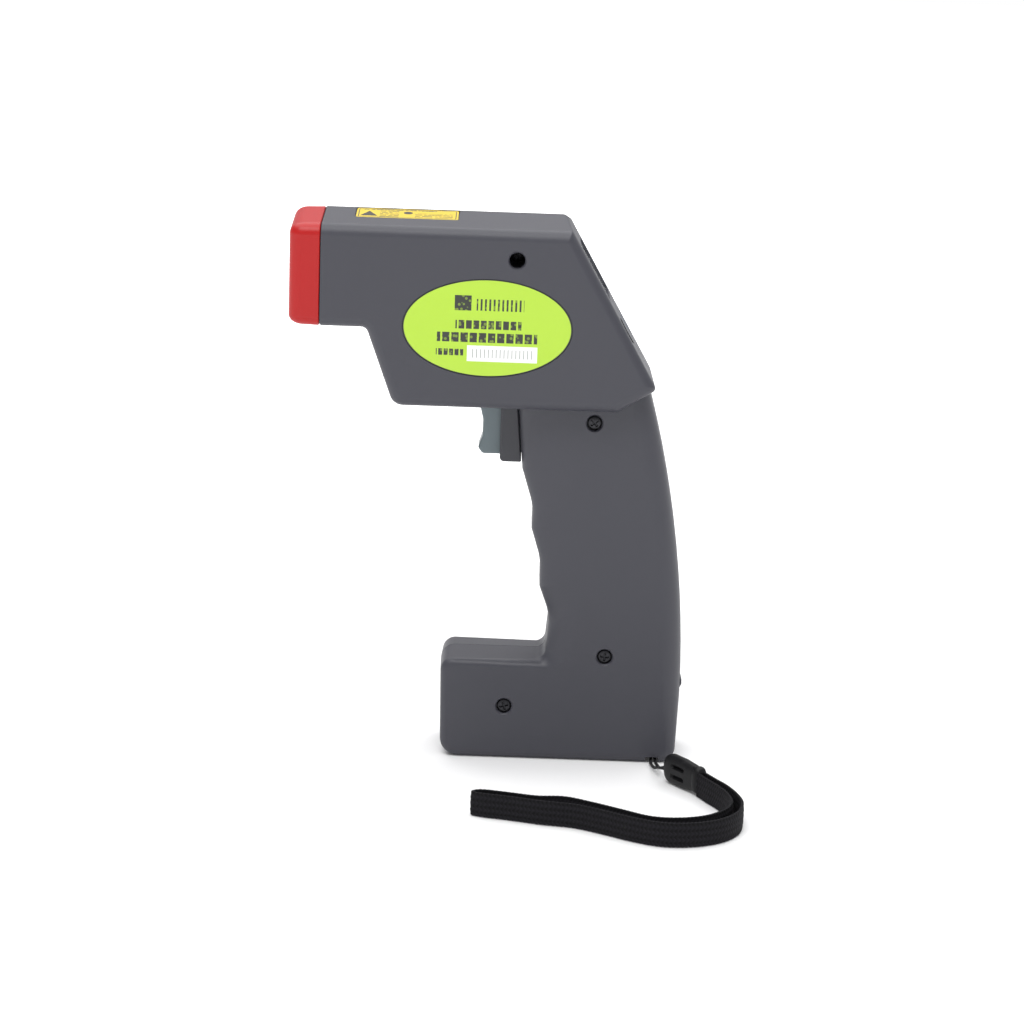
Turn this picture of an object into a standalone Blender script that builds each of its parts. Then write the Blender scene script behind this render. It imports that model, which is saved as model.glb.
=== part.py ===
"""Infrared thermometer: a gun-shaped, two-shell housing that stands on its foot, with a wrist strap.

Frame: +Z up, the nose points along -X, the left side is -Y. The origin is the middle of the
footprint of the body, on the surface that it stands on. Sizes are in millimetres, scaled by MM.
"""

import math

import bmesh
import bpy
from mathutils import Matrix, Vector

MM = 0.001
GAP = 0.3

# Head: side outline in X and Z, clockwise from the top of the nose.
HEAD_TOP = 222.6
HEAD_BOTTOM = 147.2
NOSE_BOTTOM = 178.0
NOSE_END = -67.8
HEAD_HALF = 27.0
ROOF_SLOPE = math.radians(10.0)
ROOF_DROP = 22.0 * math.tan(ROOF_SLOPE)
FACE_TOP = (28.2, HEAD_TOP)
FACE_LOW = (66.3, 156.8)
HEAD_EDGE = 4.0
ROOF_EDGE = 5.0

# Grip and foot.
GRIP_HALF = 18.2
GRIP_TOP = 156.0
FOOT_TOP = 43.0
FOOT_FRONT = -17.0
FOOT_EDGE = 3.0
BACK_RADIUS = 435.0
GRIP_ROUND = 9.0

WALL = 2.2
SEAM = 0.15

# Nose.
BEZEL_FRONT = -80.3
BEZEL_RIM = 0.7
NOSE_OPENING = (21.0, 183.0, 213.4)
LENS_Z = 194.6
LENS_RADIUS = 9.5
LASER_Z = 209.4

# Screws: X, Z and how deep the head sits below the side face.
SCREWS = {
    "head_screw": (9.2, 206.6, HEAD_HALF, 18.0),
    "grip_upper_screw": (42.3, 141.5, GRIP_HALF, 0.7),
    "grip_lower_screw": (50.3, 44.6, GRIP_HALF, 0.7),
    "foot_screw": (9.9, 22.3, GRIP_HALF, 0.7),
}
SCREW_HEAD = 2.8
SCREW_SHANK = 1.45

# Trigger group.
TRIGGER_TRAVEL = 4.0
TRIGGER_Z = (125.3, 146.7)
TRIGGER_HALF = 6.5
GUIDE_FRONT = 4.7
GUIDE_BOTTOM = 122.8
GUIDE_HALF = 9.5
SPRING_X = (20.4, 31.0)
SPRING_Z = 136.0

# Sloping rear face: places are given down the slope from its top edge.
WINDOW = (35.0, 24.0, 24.5)
KEY_SLOPE = 51.0
KEY_PITCH = 13.0
KEY_RADIUS = 4.8
BOARD_DEPTH = 8.6
BOARD_SCREWS = ((-18.5, -8.8), (18.5, -8.8), (-18.5, -63.4), (18.5, -63.4))

# Labels.
OVAL = (-1.7, 179.6, 66.5, 38.2)
ROOF_LABEL = (-35.0, 40.5, 12.6)

# Battery bay.
BATTERY_X = (29.8, 75.8)
BATTERY_Z = (4.6, 31.1)
BATTERY_HALF = 8.75
DOOR_Z = (3.9, 35.8)
DOOR_HALF = 10.0
DOOR_PIVOT = (79.78, 5.05)

# Wrist strap.
PIN = (71.5, -13.2, 2.5)
STRING_RADIUS = 0.6
BAND_WIDTH = 9.5
BAND_THICK = 1.6
CLIP_TIP = (76.2, -38.8)
CLIP_MOUTH = (88.9, -56.9)
CLIP_HEIGHT = 12.0
CLIP_THICK = 6.0

COLOURS = {
    "housing": ((0.083, 0.085, 0.100), 0.55, 0.0),
    "guide": ((0.060, 0.061, 0.072), 0.55, 0.0),
    "bezel": ((0.50, 0.030, 0.028), 0.45, 0.0),
    "trigger": ((0.155, 0.190, 0.205), 0.5, 0.0),
    "black_plastic": ((0.012, 0.012, 0.014), 0.5, 0.0),
    "screw": ((0.020, 0.020, 0.024), 0.35, 1.0),
    "steel": ((0.55, 0.55, 0.56), 0.3, 1.0),
    "green_label": ((0.52, 0.73, 0.06), 0.4, 0.0),
    "yellow_label": ((0.84, 0.68, 0.05), 0.4, 0.0),
    "lens": ((0.30, 0.26, 0.22), 0.15, 0.0),
    "laser_glass": ((0.20, 0.02, 0.02), 0.05, 0.0),
    "window": ((0.75, 0.80, 0.80), 0.05, 0.0),
    "lcd": ((0.42, 0.46, 0.38), 0.3, 0.0),
    "rubber": ((0.10, 0.11, 0.13), 0.7, 0.0),
    "board": ((0.02, 0.20, 0.06), 0.5, 0.0),
    "brass": ((0.60, 0.42, 0.15), 0.3, 1.0),
    "battery": ((0.10, 0.10, 0.11), 0.4, 0.0),
    "red_wire": ((0.60, 0.02, 0.02), 0.4, 0.0),
    "black_wire": ((0.01, 0.01, 0.01), 0.4, 0.0),
    "strap": ((0.012, 0.012, 0.014), 0.8, 0.0),
}


# ---------------------------------------------------------------- scene and naming


def clear_scene():
    """Removes every object, so the script can be run again."""
    for obj in list(bpy.data.objects):
        bpy.data.objects.remove(obj, do_unlink=True)


def new_collection(name):
    """A collection linked to the scene."""
    made = bpy.data.collections.new(name)
    bpy.context.scene.collection.children.link(made)
    return made


def colour(name):
    """The Principled material of that name, made once."""
    if name in bpy.data.materials:
        return bpy.data.materials[name]
    base, rough, metal = COLOURS[name]
    made = bpy.data.materials.new(name)
    made.use_nodes = True
    shader = made.node_tree.nodes["Principled BSDF"]
    shader.inputs["Base Color"].default_value = (*base, 1.0)
    shader.inputs["Roughness"].default_value = rough
    shader.inputs["Metallic"].default_value = metal
    return made


def add(name, mesh, look=None, parent=None):
    """Links a mesh as a part of the thermometer, or as a cutter when it has no look."""
    obj = bpy.data.objects.new(name, mesh)
    if look is None:
        CUTTERS.objects.link(obj)
        obj.hide_render = True
        obj.display_type = "WIRE"
    else:
        PARTS.objects.link(obj)
        mesh.materials.clear()
        mesh.materials.append(colour(look))
    obj.parent = parent
    return obj


def mesh_of(bm, name):
    """The bmesh as mesh data with its faces pointing out."""
    bmesh.ops.recalc_face_normals(bm, faces=bm.faces)
    mesh = bpy.data.meshes.new(name)
    bm.to_mesh(mesh)
    bm.free()
    return mesh


def shade_round(obj, degrees=35.0):
    """Smooth shading up to that angle."""
    obj.data.shade_smooth()
    obj.data.set_sharp_from_angle(angle=math.radians(degrees))
    return obj


def move_origin(obj, place):
    """Moves the object's own origin to a point of the frame without moving the part."""
    turn = obj.matrix_basis.copy()
    obj.data.transform(Matrix.Translation(-Vector(place) * MM) @ turn)
    obj.matrix_basis = Matrix.Translation(Vector(place) * MM)


def boolean(obj, other, operation):
    """An exact Boolean modifier, kept live."""
    step = obj.modifiers.new(other.name, "BOOLEAN")
    step.operation = operation
    step.object = other
    step.solver = "EXACT"


def bevel(obj, width, segments=2, degrees=40.0):
    """Rounds the edges sharper than that angle."""
    step = obj.modifiers.new("bevel", "BEVEL")
    step.width = width * MM
    step.segments = segments
    step.limit_method = "ANGLE"
    step.angle_limit = math.radians(degrees)
    return obj


# ---------------------------------------------------------------- basic shapes


def box(name, low, high, look=None, parent=None, edge=0.0):
    """A block between two corners, with rounded edges if edge is given."""
    bm = bmesh.new()
    bmesh.ops.create_cube(bm, size=1.0)
    low, high = Vector(low) * MM, Vector(high) * MM
    bmesh.ops.scale(bm, vec=high - low, verts=bm.verts)
    bmesh.ops.translate(bm, vec=(low + high) / 2, verts=bm.verts)
    obj = add(name, mesh_of(bm, name), look, parent)
    if edge:
        bevel(obj, edge)
    return obj


def cylinder(name, start, end, radius, look=None, parent=None, sides=20, end_radius=None):
    """A cylinder or cone between two points of its axis."""
    start, end = Vector(start) * MM, Vector(end) * MM
    along = end - start
    turn = along.to_track_quat("Z", "Y").to_matrix().to_4x4()
    bm = bmesh.new()
    bmesh.ops.create_cone(
        bm,
        cap_ends=True,
        segments=sides,
        radius1=radius * MM,
        radius2=(radius if end_radius is None else end_radius) * MM,
        depth=along.length,
        matrix=Matrix.Translation((start + end) / 2) @ turn,
    )
    obj = add(name, mesh_of(bm, name), look, parent)
    return shade_round(obj)


def turned(name, profile, place, look=None, parent=None, sides=20):
    """A profile of (radius, height) points, top to bottom, turned about its own Z by a Screw modifier."""
    mesh = bpy.data.meshes.new(name)
    points = [(radius * MM, 0.0, height * MM) for radius, height in profile]
    closed = profile[0][0] > 0.0
    edges = [(i, i + 1) for i in range(len(points) - 1)]
    if closed:
        edges.append((len(points) - 1, 0))
    mesh.from_pydata(points, edges, [])
    obj = add(name, mesh, look, parent)
    obj.matrix_local = place
    spin = obj.modifiers.new("turn", "SCREW")
    spin.steps = sides
    spin.render_steps = sides
    spin.use_merge_vertices = True
    spin.merge_threshold = 0.00001
    spin.use_smooth_shade = False
    return obj


def outline_plate(name, points, thickness, place, look=None, parent=None):
    """A flat closed outline in its own XY plane, filled and extruded evenly to both sides."""
    curve = bpy.data.curves.new(name, "CURVE")
    curve.dimensions = "2D"
    curve.fill_mode = "BOTH"
    curve.extrude = thickness * MM / 2
    spline = curve.splines.new("POLY")
    spline.points.add(len(points) - 1)
    for target, (x, y) in zip(spline.points, points):
        target.co = (x * MM, y * MM, 0.0, 1.0)
    spline.use_cyclic_u = True
    flat = bpy.data.objects.new(name + "_outline", curve)
    bpy.context.scene.collection.objects.link(flat)
    bpy.context.view_layer.update()
    seen = flat.evaluated_get(bpy.context.evaluated_depsgraph_get())
    mesh = bpy.data.meshes.new_from_object(seen)
    bpy.data.objects.remove(flat, do_unlink=True)
    bm = bmesh.new()
    bm.from_mesh(mesh)
    bmesh.ops.remove_doubles(bm, verts=bm.verts, dist=1e-6)
    bmesh.ops.recalc_face_normals(bm, faces=bm.faces)
    bm.to_mesh(mesh)
    bm.free()
    mesh.name = name
    obj = add(name, mesh, look, parent)
    obj.matrix_local = place
    return obj


def wire(name, points, radius, look, steps=2):
    """A round wire along a smooth curve through the points, as a bevelled poly curve with caps."""
    curve = bpy.data.curves.new(name, "CURVE")
    curve.dimensions = "3D"
    curve.bevel_depth = radius * MM
    curve.bevel_resolution = 2
    curve.use_fill_caps = True
    path = smooth_path(points, steps)
    spline = curve.splines.new("POLY")
    spline.points.add(len(path) - 1)
    for target, point in zip(spline.points, path):
        target.co = (*(point * MM), 1.0)
    obj = bpy.data.objects.new(name, curve)
    PARTS.objects.link(obj)
    curve.materials.append(colour(look))
    return obj


def smooth_path(points, steps):
    """Catmull-Rom curve through the points, with that many pieces between neighbours."""
    given = [Vector(p) for p in points]
    ends = [2 * given[0] - given[1], *given, 2 * given[-1] - given[-2]]
    path = []
    for i in range(1, len(ends) - 2):
        before, here, there, after = ends[i - 1 : i + 3]
        for k in range(steps):
            t = k / steps
            path.append(
                0.5
                * (
                    2 * here
                    + (there - before) * t
                    + (2 * before - 5 * here + 4 * there - after) * t**2
                    + (3 * here - before - 3 * there + after) * t**3
                )
            )
    path.append(given[-1])
    return path


# ---------------------------------------------------------------- outlines


def rounded(corners, pieces=4):
    """Points of a closed outline whose corners (x, y, radius) are replaced by arcs."""
    points = []
    count = len(corners)
    for i, (x, y, radius) in enumerate(corners):
        corner = Vector((x, y))
        before = (Vector(corners[i - 1][:2]) - corner).normalized()
        after = (Vector(corners[(i + 1) % count][:2]) - corner).normalized()
        opening = before.angle(after)
        reach = radius / math.tan(opening / 2)
        centre = corner + (before + after).normalized() * radius / math.sin(opening / 2)
        first = corner + before * reach - centre
        turn = (math.pi - opening) * (1 if first.cross(-before) > 0 else -1)
        for k in range(pieces + 1):
            spin = Matrix.Rotation(turn * k / pieces, 2)
            points.append(centre + spin @ first)
    return points


def inset(corners, distances):
    """The outline with edge i, from corner i to the next, moved inwards by distances[i].

    Corners run clockwise, so inwards is to the right of each edge. Radii shrink on outer corners
    and grow on inner ones, so the new arcs stay parallel to the old ones.
    """
    count = len(corners)
    moved = []
    for i in range(count):
        here = Vector(corners[i][:2])
        along = (Vector(corners[(i + 1) % count][:2]) - here).normalized()
        into = Vector((along.y, -along.x))
        moved.append((here + into * distances[i], along))
    result = []
    for i, (x, y, radius) in enumerate(corners):
        (start, first), (there, second) = moved[i - 1], moved[i]
        cross = first.cross(second)
        step = (there - start).cross(second) / cross
        point = start + first * step
        shift = (distances[i - 1] + distances[i]) / 2
        new_radius = radius - shift if cross < 0 else radius + shift
        result.append((point.x, point.y, max(new_radius, 0.4)))
    return result


def half_solid(name, seam, shoulder, face, depths, half_width, side, start=SEAM):
    """One side of a closed body: loft from the seam plane over a rounded shoulder to the side face.

    seam, shoulder and face are outlines in X and Z with equal corners. depths holds, for each
    corner, how far across the quarter-ellipse shoulder reaches. side is -1 for left, 1 for right.
    """
    pieces = 3
    inner, middle, outer = (rounded(loop, pieces) for loop in (seam, shoulder, face))
    across = [depth for depth in depths for _ in range(pieces + 1)]
    levels = [[(p.x, side * start, p.y) for p in inner]]
    for k in range(4):
        angle = math.pi / 2 * k / 3
        ring = []
        for low, high, depth in zip(middle, outer, across):
            point = low.lerp(high, 1 - math.cos(angle))
            ring.append((point.x, side * (half_width - depth * (1 - math.sin(angle))), point.y))
        levels.append(ring)
    bm = bmesh.new()
    rings = [[bm.verts.new(Vector(p) * MM) for p in ring] for ring in levels]
    count = len(rings[0])
    for low, high in zip(rings, rings[1:]):
        for i in range(count):
            j = (i + 1) % count
            bm.faces.new((low[i], low[j], high[j], high[i]))
    bm.faces.new(rings[0])
    bm.faces.new(rings[-1])
    bmesh.ops.triangulate(bm, faces=[face for face in bm.faces if len(face.verts) == 4])
    return add(name, mesh_of(bm, name))


# ---------------------------------------------------------------- housing

HEAD = [
    (NOSE_END, HEAD_TOP, 0.5),
    (*FACE_TOP, 2.5),
    (*FACE_LOW, 2.0),
    (50.6, HEAD_BOTTOM, 3.0),
    (-38.2, HEAD_BOTTOM, 5.5),
    (-49.6, NOSE_BOTTOM, 3.0),
    (NOSE_END, NOSE_BOTTOM, 0.5),
]
HEAD_CROWN = (ROOF_DROP, 0, 0, 0, 0, 0, 0)
HEAD_ROUNDING = (ROOF_EDGE, HEAD_EDGE, HEAD_EDGE, HEAD_EDGE, HEAD_EDGE, HEAD_EDGE, 0)

# Each row: seam corner (x, z, radius), side-face corner (x, z, radius), depth of the shoulder.
GRIP = [
    ((11.0, GRIP_TOP, 0.5), (26.0, GRIP_TOP, 0.5), GRIP_ROUND),
    ((64.1, GRIP_TOP, 0.5), (54.0, GRIP_TOP, 0.5), GRIP_ROUND),
    ((82.4, 92.0, BACK_RADIUS), (72.4, 92.0, BACK_RADIUS - 10), GRIP_ROUND),
    ((82.4, 30.0, 20.0), (73.4, 30.0, 14.0), GRIP_ROUND),
    ((80.8, 0.0, 4.0), (77.4, 3.0, 2.0), FOOT_EDGE),
    ((FOOT_FRONT + 0.8, 0.0, 7.5), (FOOT_FRONT + 3.8, 3.0, 5.0), FOOT_EDGE),
    ((FOOT_FRONT, FOOT_TOP, 6.0), (FOOT_FRONT + 3.0, FOOT_TOP - 4.2, 3.5), FOOT_EDGE),
    ((25.8, FOOT_TOP, 4.0), (36.0, FOOT_TOP - 4.2, 9.0), 5.0),
    ((26.9, 60.5, 20.0), (43.0, 69.0, 20.0), GRIP_ROUND),
    ((22.7, 71.7, 0.9), (43.5, 78.2, 3.0), GRIP_ROUND),
    ((22.6, 83.2, 25.0), (43.0, 92.5, 20.0), GRIP_ROUND),
    ((18.6, 95.8, 0.9), (42.5, 102.4, 3.0), GRIP_ROUND),
    ((18.9, 105.0, 25.0), (38.5, 116.0, 20.0), GRIP_ROUND),
    ((14.0, 120.5, 4.0), (34.0, 128.5, 10.0), GRIP_ROUND),
]
GRIP_CROWN = (0, 0.3, 0.3, 0.2, 0, 0.3, 1.2, 0.2, 0, 0, 0, 0, 0, 0)


def head_half(name, side, wall=0.0):
    """The head's solid on one side, or its cavity when wall is given."""
    seam = inset(HEAD, [wall] * 6 + [-8.0 if wall else 0.0])
    shoulder = inset(seam, HEAD_CROWN)
    face = inset(shoulder, HEAD_ROUNDING)
    depths = [ROOF_EDGE] * 2 + [HEAD_EDGE] * 5
    start = -1.0 if wall else SEAM
    return half_solid(name, seam, shoulder, face, depths, HEAD_HALF - wall, side, start)


def grip_half(name, side, wall=0.0):
    """The grip and foot on one side, or their cavity when wall is given."""
    seam = [row[0] for row in GRIP]
    face = [row[1] for row in GRIP]
    shoulder = inset(seam, GRIP_CROWN)
    depths = [row[2] for row in GRIP]
    if wall:
        inwards = [wall] * len(GRIP)
        seam, shoulder = inset(seam, inwards), inset(shoulder, inwards)
        face = inset(face, [wall / 2] * len(GRIP))
    start = -1.0 if wall else SEAM
    return half_solid(name, seam, shoulder, face, depths, GRIP_HALF - wall, side, start)


def screw_hole(half, name, side):
    """Boss and hole for one housing screw: head pocket on the left, blind hole on the right."""
    x, z, outer, depth = SCREWS[name]
    seat = outer - depth - 2.4
    if side < 0:
        boss = cylinder(f"{name}_boss_left", (x, -outer + 1.0, z), (x, -SEAM, z), 4.6)
        pocket = cylinder(f"{name}_pocket", (x, -outer - 1.0, z), (x, -seat, z), SCREW_HEAD + 0.35)
        shank = cylinder(f"{name}_clearance", (x, -outer, z), (x, 1.0, z), SCREW_SHANK + 0.3)
        boolean(half, boss, "UNION")
        boolean(half, pocket, "DIFFERENCE")
        boolean(half, shank, "DIFFERENCE")
    else:
        boss = cylinder(f"{name}_boss_right", (x, SEAM, z), (x, outer - 1.0, z), 3.6)
        shank = cylinder(f"{name}_blind", (x, -1.0, z), (x, 14.0, z), SCREW_SHANK + 0.3)
        boolean(half, boss, "UNION")
        boolean(half, shank, "DIFFERENCE")


def housing(name, side):
    """One moulded half: hollow head and grip, bosses, ribs and every opening."""
    word = "left" if side < 0 else "right"
    solid = head_half(f"{word}_head_solid", side)
    half = add(name, solid.data, "housing")
    bpy.data.objects.remove(solid)
    boolean(half, grip_half(f"{word}_grip_solid", side), "UNION")
    boolean(half, head_half(f"{word}_head_cavity", side, WALL), "DIFFERENCE")
    boolean(half, grip_half(f"{word}_grip_cavity", side, WALL), "DIFFERENCE")
    near, far = sorted((side * SEAM, side * (GRIP_HALF - 1.0)))
    seat = box(f"{word}_spring_seat", (31.4, near, 127.0), (33.4, far, 143.8))
    shelf = box(f"{word}_battery_shelf", (30.0, near, 31.6), (74.0, far, 33.2))
    near, far = sorted((side * 3.0, side * 7.0))
    rail = box(f"{word}_battery_rail", (30.0, near, 1.5), (74.0, far, 4.3))
    for rib in (seat, shelf, rail):
        boolean(half, rib, "UNION")
    for i, (x, y) in enumerate(BOARD_SCREWS):
        if x * side > 0:
            post = cylinder(f"board_post_{i + 1}", (x, y, -6.7), (x, y, -1.2), 2.3, parent=DISPLAY)
            bore = cylinder(f"board_post_bore_{i + 1}", (x, y, -8.0), (x, y, -2.6), 1.2, parent=DISPLAY)
            boolean(half, post, "UNION")
            boolean(half, bore, "DIFFERENCE")
    for screw in SCREWS:
        screw_hole(half, screw, side)
    for cutter in SHARED_CUTTERS:
        boolean(half, cutter, "DIFFERENCE")
    return half


def shared_cutters():
    """The openings that pass through both halves or lie on their seam."""
    width, height, slope = WINDOW
    cutters = [
        box("trigger_slot", (9.0, -5.0, 124.9), (22.0, 5.0, 146.7)),
        box(
            "door_opening",
            (76.0, -DOOR_HALF - GAP, DOOR_Z[0] - GAP),
            (90.0, DOOR_HALF + GAP, DOOR_Z[1] + GAP),
        ),
        box(
            "window_opening",
            (-width / 2 - GAP, -slope - height / 2 - GAP, -6.0),
            (width / 2 + GAP, -slope + height / 2 + GAP, 3.0),
            parent=DISPLAY,
        ),
    ]
    for k in (-1, 0, 1):
        x = k * KEY_PITCH
        cutters.append(
            cylinder(
                f"key_hole_{k + 1}",
                (x, -KEY_SLOPE, -5.0),
                (x, -KEY_SLOPE, 3.0),
                KEY_RADIUS + GAP,
                parent=DISPLAY,
                sides=24,
            )
        )
    return cutters


def display_frame():
    """An empty on the top edge of the sloping face: Y up the slope, Z out of it."""
    top, low = Vector((FACE_TOP[0], 0, FACE_TOP[1])), Vector((FACE_LOW[0], 0, FACE_LOW[1]))
    up = (top - low).normalized()
    out = Vector((up.z, 0, -up.x))
    turn = Matrix((Vector((0, 1, 0)), up, out)).transposed().to_4x4()
    empty = bpy.data.objects.new("display_face", None)
    PARTS.objects.link(empty)
    empty.matrix_world = Matrix.Translation(top * MM) @ turn
    bpy.context.view_layer.update()
    return empty


def ellipse(long, short, count=48):
    """Points of an ellipse of those two diameters."""
    turns = [2 * math.pi * k / count for k in range(count)]
    return [(long / 2 * math.cos(a), short / 2 * math.sin(a)) for a in turns]


def rectangle(width, height, radius, pieces=4):
    """Points of a rectangle with rounded corners, clockwise."""
    x, y = width / 2, height / 2
    return rounded([(-x, y, radius), (x, y, radius), (x, -y, radius), (-x, -y, radius)], pieces)


def left_side_place(x, z, y):
    """Places an outline's plane flat on the left side: its X along +X, its Y up, its Z outwards."""
    turn = Matrix.Rotation(math.radians(90), 4, "X")
    return Matrix.Translation(Vector((x, y, z)) * MM) @ turn


def roof_place(x, lift):
    """Places an outline on the left slope of the roof, its X along +X, its Y up the slope."""
    middle = ROOF_LABEL[2] / 2 + 0.8
    y = -middle * math.cos(ROOF_SLOPE) - lift * math.sin(ROOF_SLOPE)
    z = HEAD_TOP - middle * math.sin(ROOF_SLOPE) + lift * math.cos(ROOF_SLOPE)
    return Matrix.Translation(Vector((x, y, z)) * MM) @ Matrix.Rotation(ROOF_SLOPE, 4, "X")


def housings_and_labels():
    """Both halves, the recesses in the left one, and the two labels that lie in them."""
    left = housing("left_housing", -1)
    housing("right_housing", 1)
    x, z, long, short = OVAL
    recess = outline_plate(
        "oval_recess", ellipse(long + 0.8, short + 0.8), 2.0, left_side_place(x, z, -HEAD_HALF - 0.4)
    )
    boolean(left, recess, "DIFFERENCE")
    place = left_side_place(x, z, -HEAD_HALF + 0.18)
    outline_plate("oval_label", ellipse(long, short), 0.24, place, "green_label")
    x, long, wide = ROOF_LABEL
    recess = outline_plate("roof_recess", rectangle(long + 0.8, wide + 0.8, 1.6), 2.0, roof_place(x, 0.4))
    boolean(left, recess, "DIFFERENCE")
    outline_plate("roof_label", rectangle(long, wide, 1.2), 0.24, roof_place(x, -0.18), "yellow_label")
    lanyard_anchor(left)


def lanyard_anchor(left):
    """A solid corner in the foot with a pocket, a small way out at the side, and a steel pin across it."""
    x, y, z = PIN
    block = box("lanyard_block", (x - 5.6, y - 4.0, 1.0), (x + 4.3, y + 3.9, 6.4))
    pocket = box("lanyard_pocket", (x - 2.8, y - 2.9, -1.0), (x + 2.8, y + 2.9, 5.4))
    way_out = box("lanyard_way_out", (x - 2.6, y - 8.0, -1.0), (x + 2.6, y - 2.0, 2.6))
    bore = cylinder("lanyard_bore", (x - 4.9, y, z), (x + 3.6, y, z), 1.1)
    boolean(left, block, "UNION")
    for cutter in (pocket, way_out, bore):
        boolean(left, cutter, "DIFFERENCE")
    cylinder("lanyard_pin", (x - 4.5, y, z), (x + 3.2, y, z), 0.8, "steel", sides=12)


# ---------------------------------------------------------------- nose and optics


def nose_section(shrink):
    """The nose's outline in Y and Z, roof and rounded corners, moved inwards by shrink."""
    eave = HEAD_TOP - HEAD_HALF * math.tan(ROOF_SLOPE)
    corners = [
        (-HEAD_HALF, NOSE_BOTTOM, HEAD_EDGE),
        (-HEAD_HALF, eave, ROOF_EDGE),
        (0.0, HEAD_TOP, 12.0),
        (HEAD_HALF, eave, ROOF_EDGE),
        (HEAD_HALF, NOSE_BOTTOM, HEAD_EDGE),
    ]
    return inset(corners, [shrink] * 5)


def opening_section(grow):
    """The nose opening's outline in Y and Z with the same five corners, grown by grow."""
    half, low, high = NOSE_OPENING
    corners = [
        (-half, low, 3.0),
        (-half, high - 1.5, 3.0),
        (0.0, high, 20.0),
        (half, high - 1.5, 3.0),
        (half, low, 3.0),
    ]
    return inset(corners, [-grow] * 5)


def bezel():
    """The red nose ring: its wall profile carried round the nose, tapered and rounded at the rim."""
    rear = NOSE_END - GAP
    sections = [
        (rear, nose_section(0.0)),
        (BEZEL_FRONT + 5.4, nose_section(0.2)),
        (BEZEL_FRONT + 2.8, nose_section(0.9)),
        (BEZEL_FRONT + 1.1, nose_section(2.1)),
        (BEZEL_FRONT + 0.3, nose_section(3.3)),
        (BEZEL_FRONT, nose_section(4.2)),
        (BEZEL_FRONT, opening_section(BEZEL_RIM)),
        (BEZEL_FRONT + 0.8, opening_section(0.2)),
        (BEZEL_FRONT + 2.5, opening_section(0.0)),
        (rear - 2.4, opening_section(0.0)),
        (rear - 2.4, opening_section(2.6)),
        (rear, opening_section(2.6)),
    ]
    bm = bmesh.new()
    rings = []
    for x, corners in sections:
        points = rounded(corners, 5)
        rings.append([bm.verts.new(Vector((x, p.x, p.y)) * MM) for p in points])
    count = len(rings[0])
    for low, high in zip(rings, [*rings[1:], rings[0]]):
        for i in range(count):
            j = (i + 1) % count
            bm.faces.new((low[i], low[j], high[j], high[i]))
    shade_round(add("nose_bezel", mesh_of(bm, "nose_bezel"), "bezel"), 30)


def across_nose(x):
    """Places an outline's plane across the nose: its X along +Y, its Y along +Z."""
    turn = Matrix((Vector((0, 1, 0)), Vector((0, 0, 1)), Vector((1, 0, 0)))).transposed().to_4x4()
    return Matrix.Translation(Vector((x, 0, 0)) * MM) @ turn


def optics():
    """Front baffle, lens, barrel, sensor and its board, laser and its window."""
    rear = NOSE_END - GAP
    baffle = outline_plate(
        "front_baffle",
        rounded(opening_section(2.2), 4),
        1.6,
        across_nose(rear - 1.2),
        "black_plastic",
    )
    sight = cylinder(
        "sight_hole", (-80, 0, LENS_Z), (-60, 0, LENS_Z), LENS_RADIUS - 0.6, sides=32
    )
    beam = cylinder("beam_hole", (-80, 0, LASER_Z), (-60, 0, LASER_Z), 2.3, sides=16)
    boolean(baffle, sight, "DIFFERENCE")
    boolean(baffle, beam, "DIFFERENCE")
    along = Matrix.Rotation(math.radians(90), 4, "Y")
    place = Matrix.Translation(Vector((0, 0, LENS_Z)) * MM) @ along
    front = NOSE_END + 0.4
    lens = [
        (0.0, front + 2.4),
        (LENS_RADIUS - 0.3, front + 2.0),
        (LENS_RADIUS - 0.3, front + 0.4),
        (LENS_RADIUS * 0.6, front + 0.15),
        (0.0, front),
    ]
    turned("ir_lens", lens, place, "lens", sides=32)
    tube = [
        (LENS_RADIUS, front + 32.0),
        (LENS_RADIUS + 1.6, front + 32.0),
        (LENS_RADIUS + 1.6, front),
        (LENS_RADIUS, front),
        (LENS_RADIUS, front + 2.8),
        (LENS_RADIUS - 1.6, front + 2.8),
        (LENS_RADIUS - 4.6, front + 28.0),
        (LENS_RADIUS - 4.6, front + 32.0),
    ]
    turned("lens_barrel", tube, place, "black_plastic", sides=28)
    can = [(0.0, 7.2), (4.1, 7.2), (4.1, 1.0), (4.6, 1.0), (4.6, 0.0), (0.0, 0.0)]
    seat = front + 26.0
    sensor_place = Matrix.Translation(Vector((seat + 7.0, 0, LENS_Z)) * MM)
    sensor_place = sensor_place @ Matrix.Rotation(math.radians(-90), 4, "Y")
    turned("thermopile_sensor", can, sensor_place, "steel", sides=20)
    box(
        "sensor_board",
        (seat + 7.4, -9.0, LENS_Z - 9.0),
        (seat + 8.8, 9.0, LENS_Z + 9.0),
        "board",
    )
    cylinder("laser_window", (front, 0, LASER_Z), (front + 0.8, 0, LASER_Z), 3.0, "laser_glass")
    cylinder(
        "laser_module", (front + 1.2, 0, LASER_Z), (front + 19.0, 0, LASER_Z), 2.8, "brass", sides=20
    )


# ---------------------------------------------------------------- rear face


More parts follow.
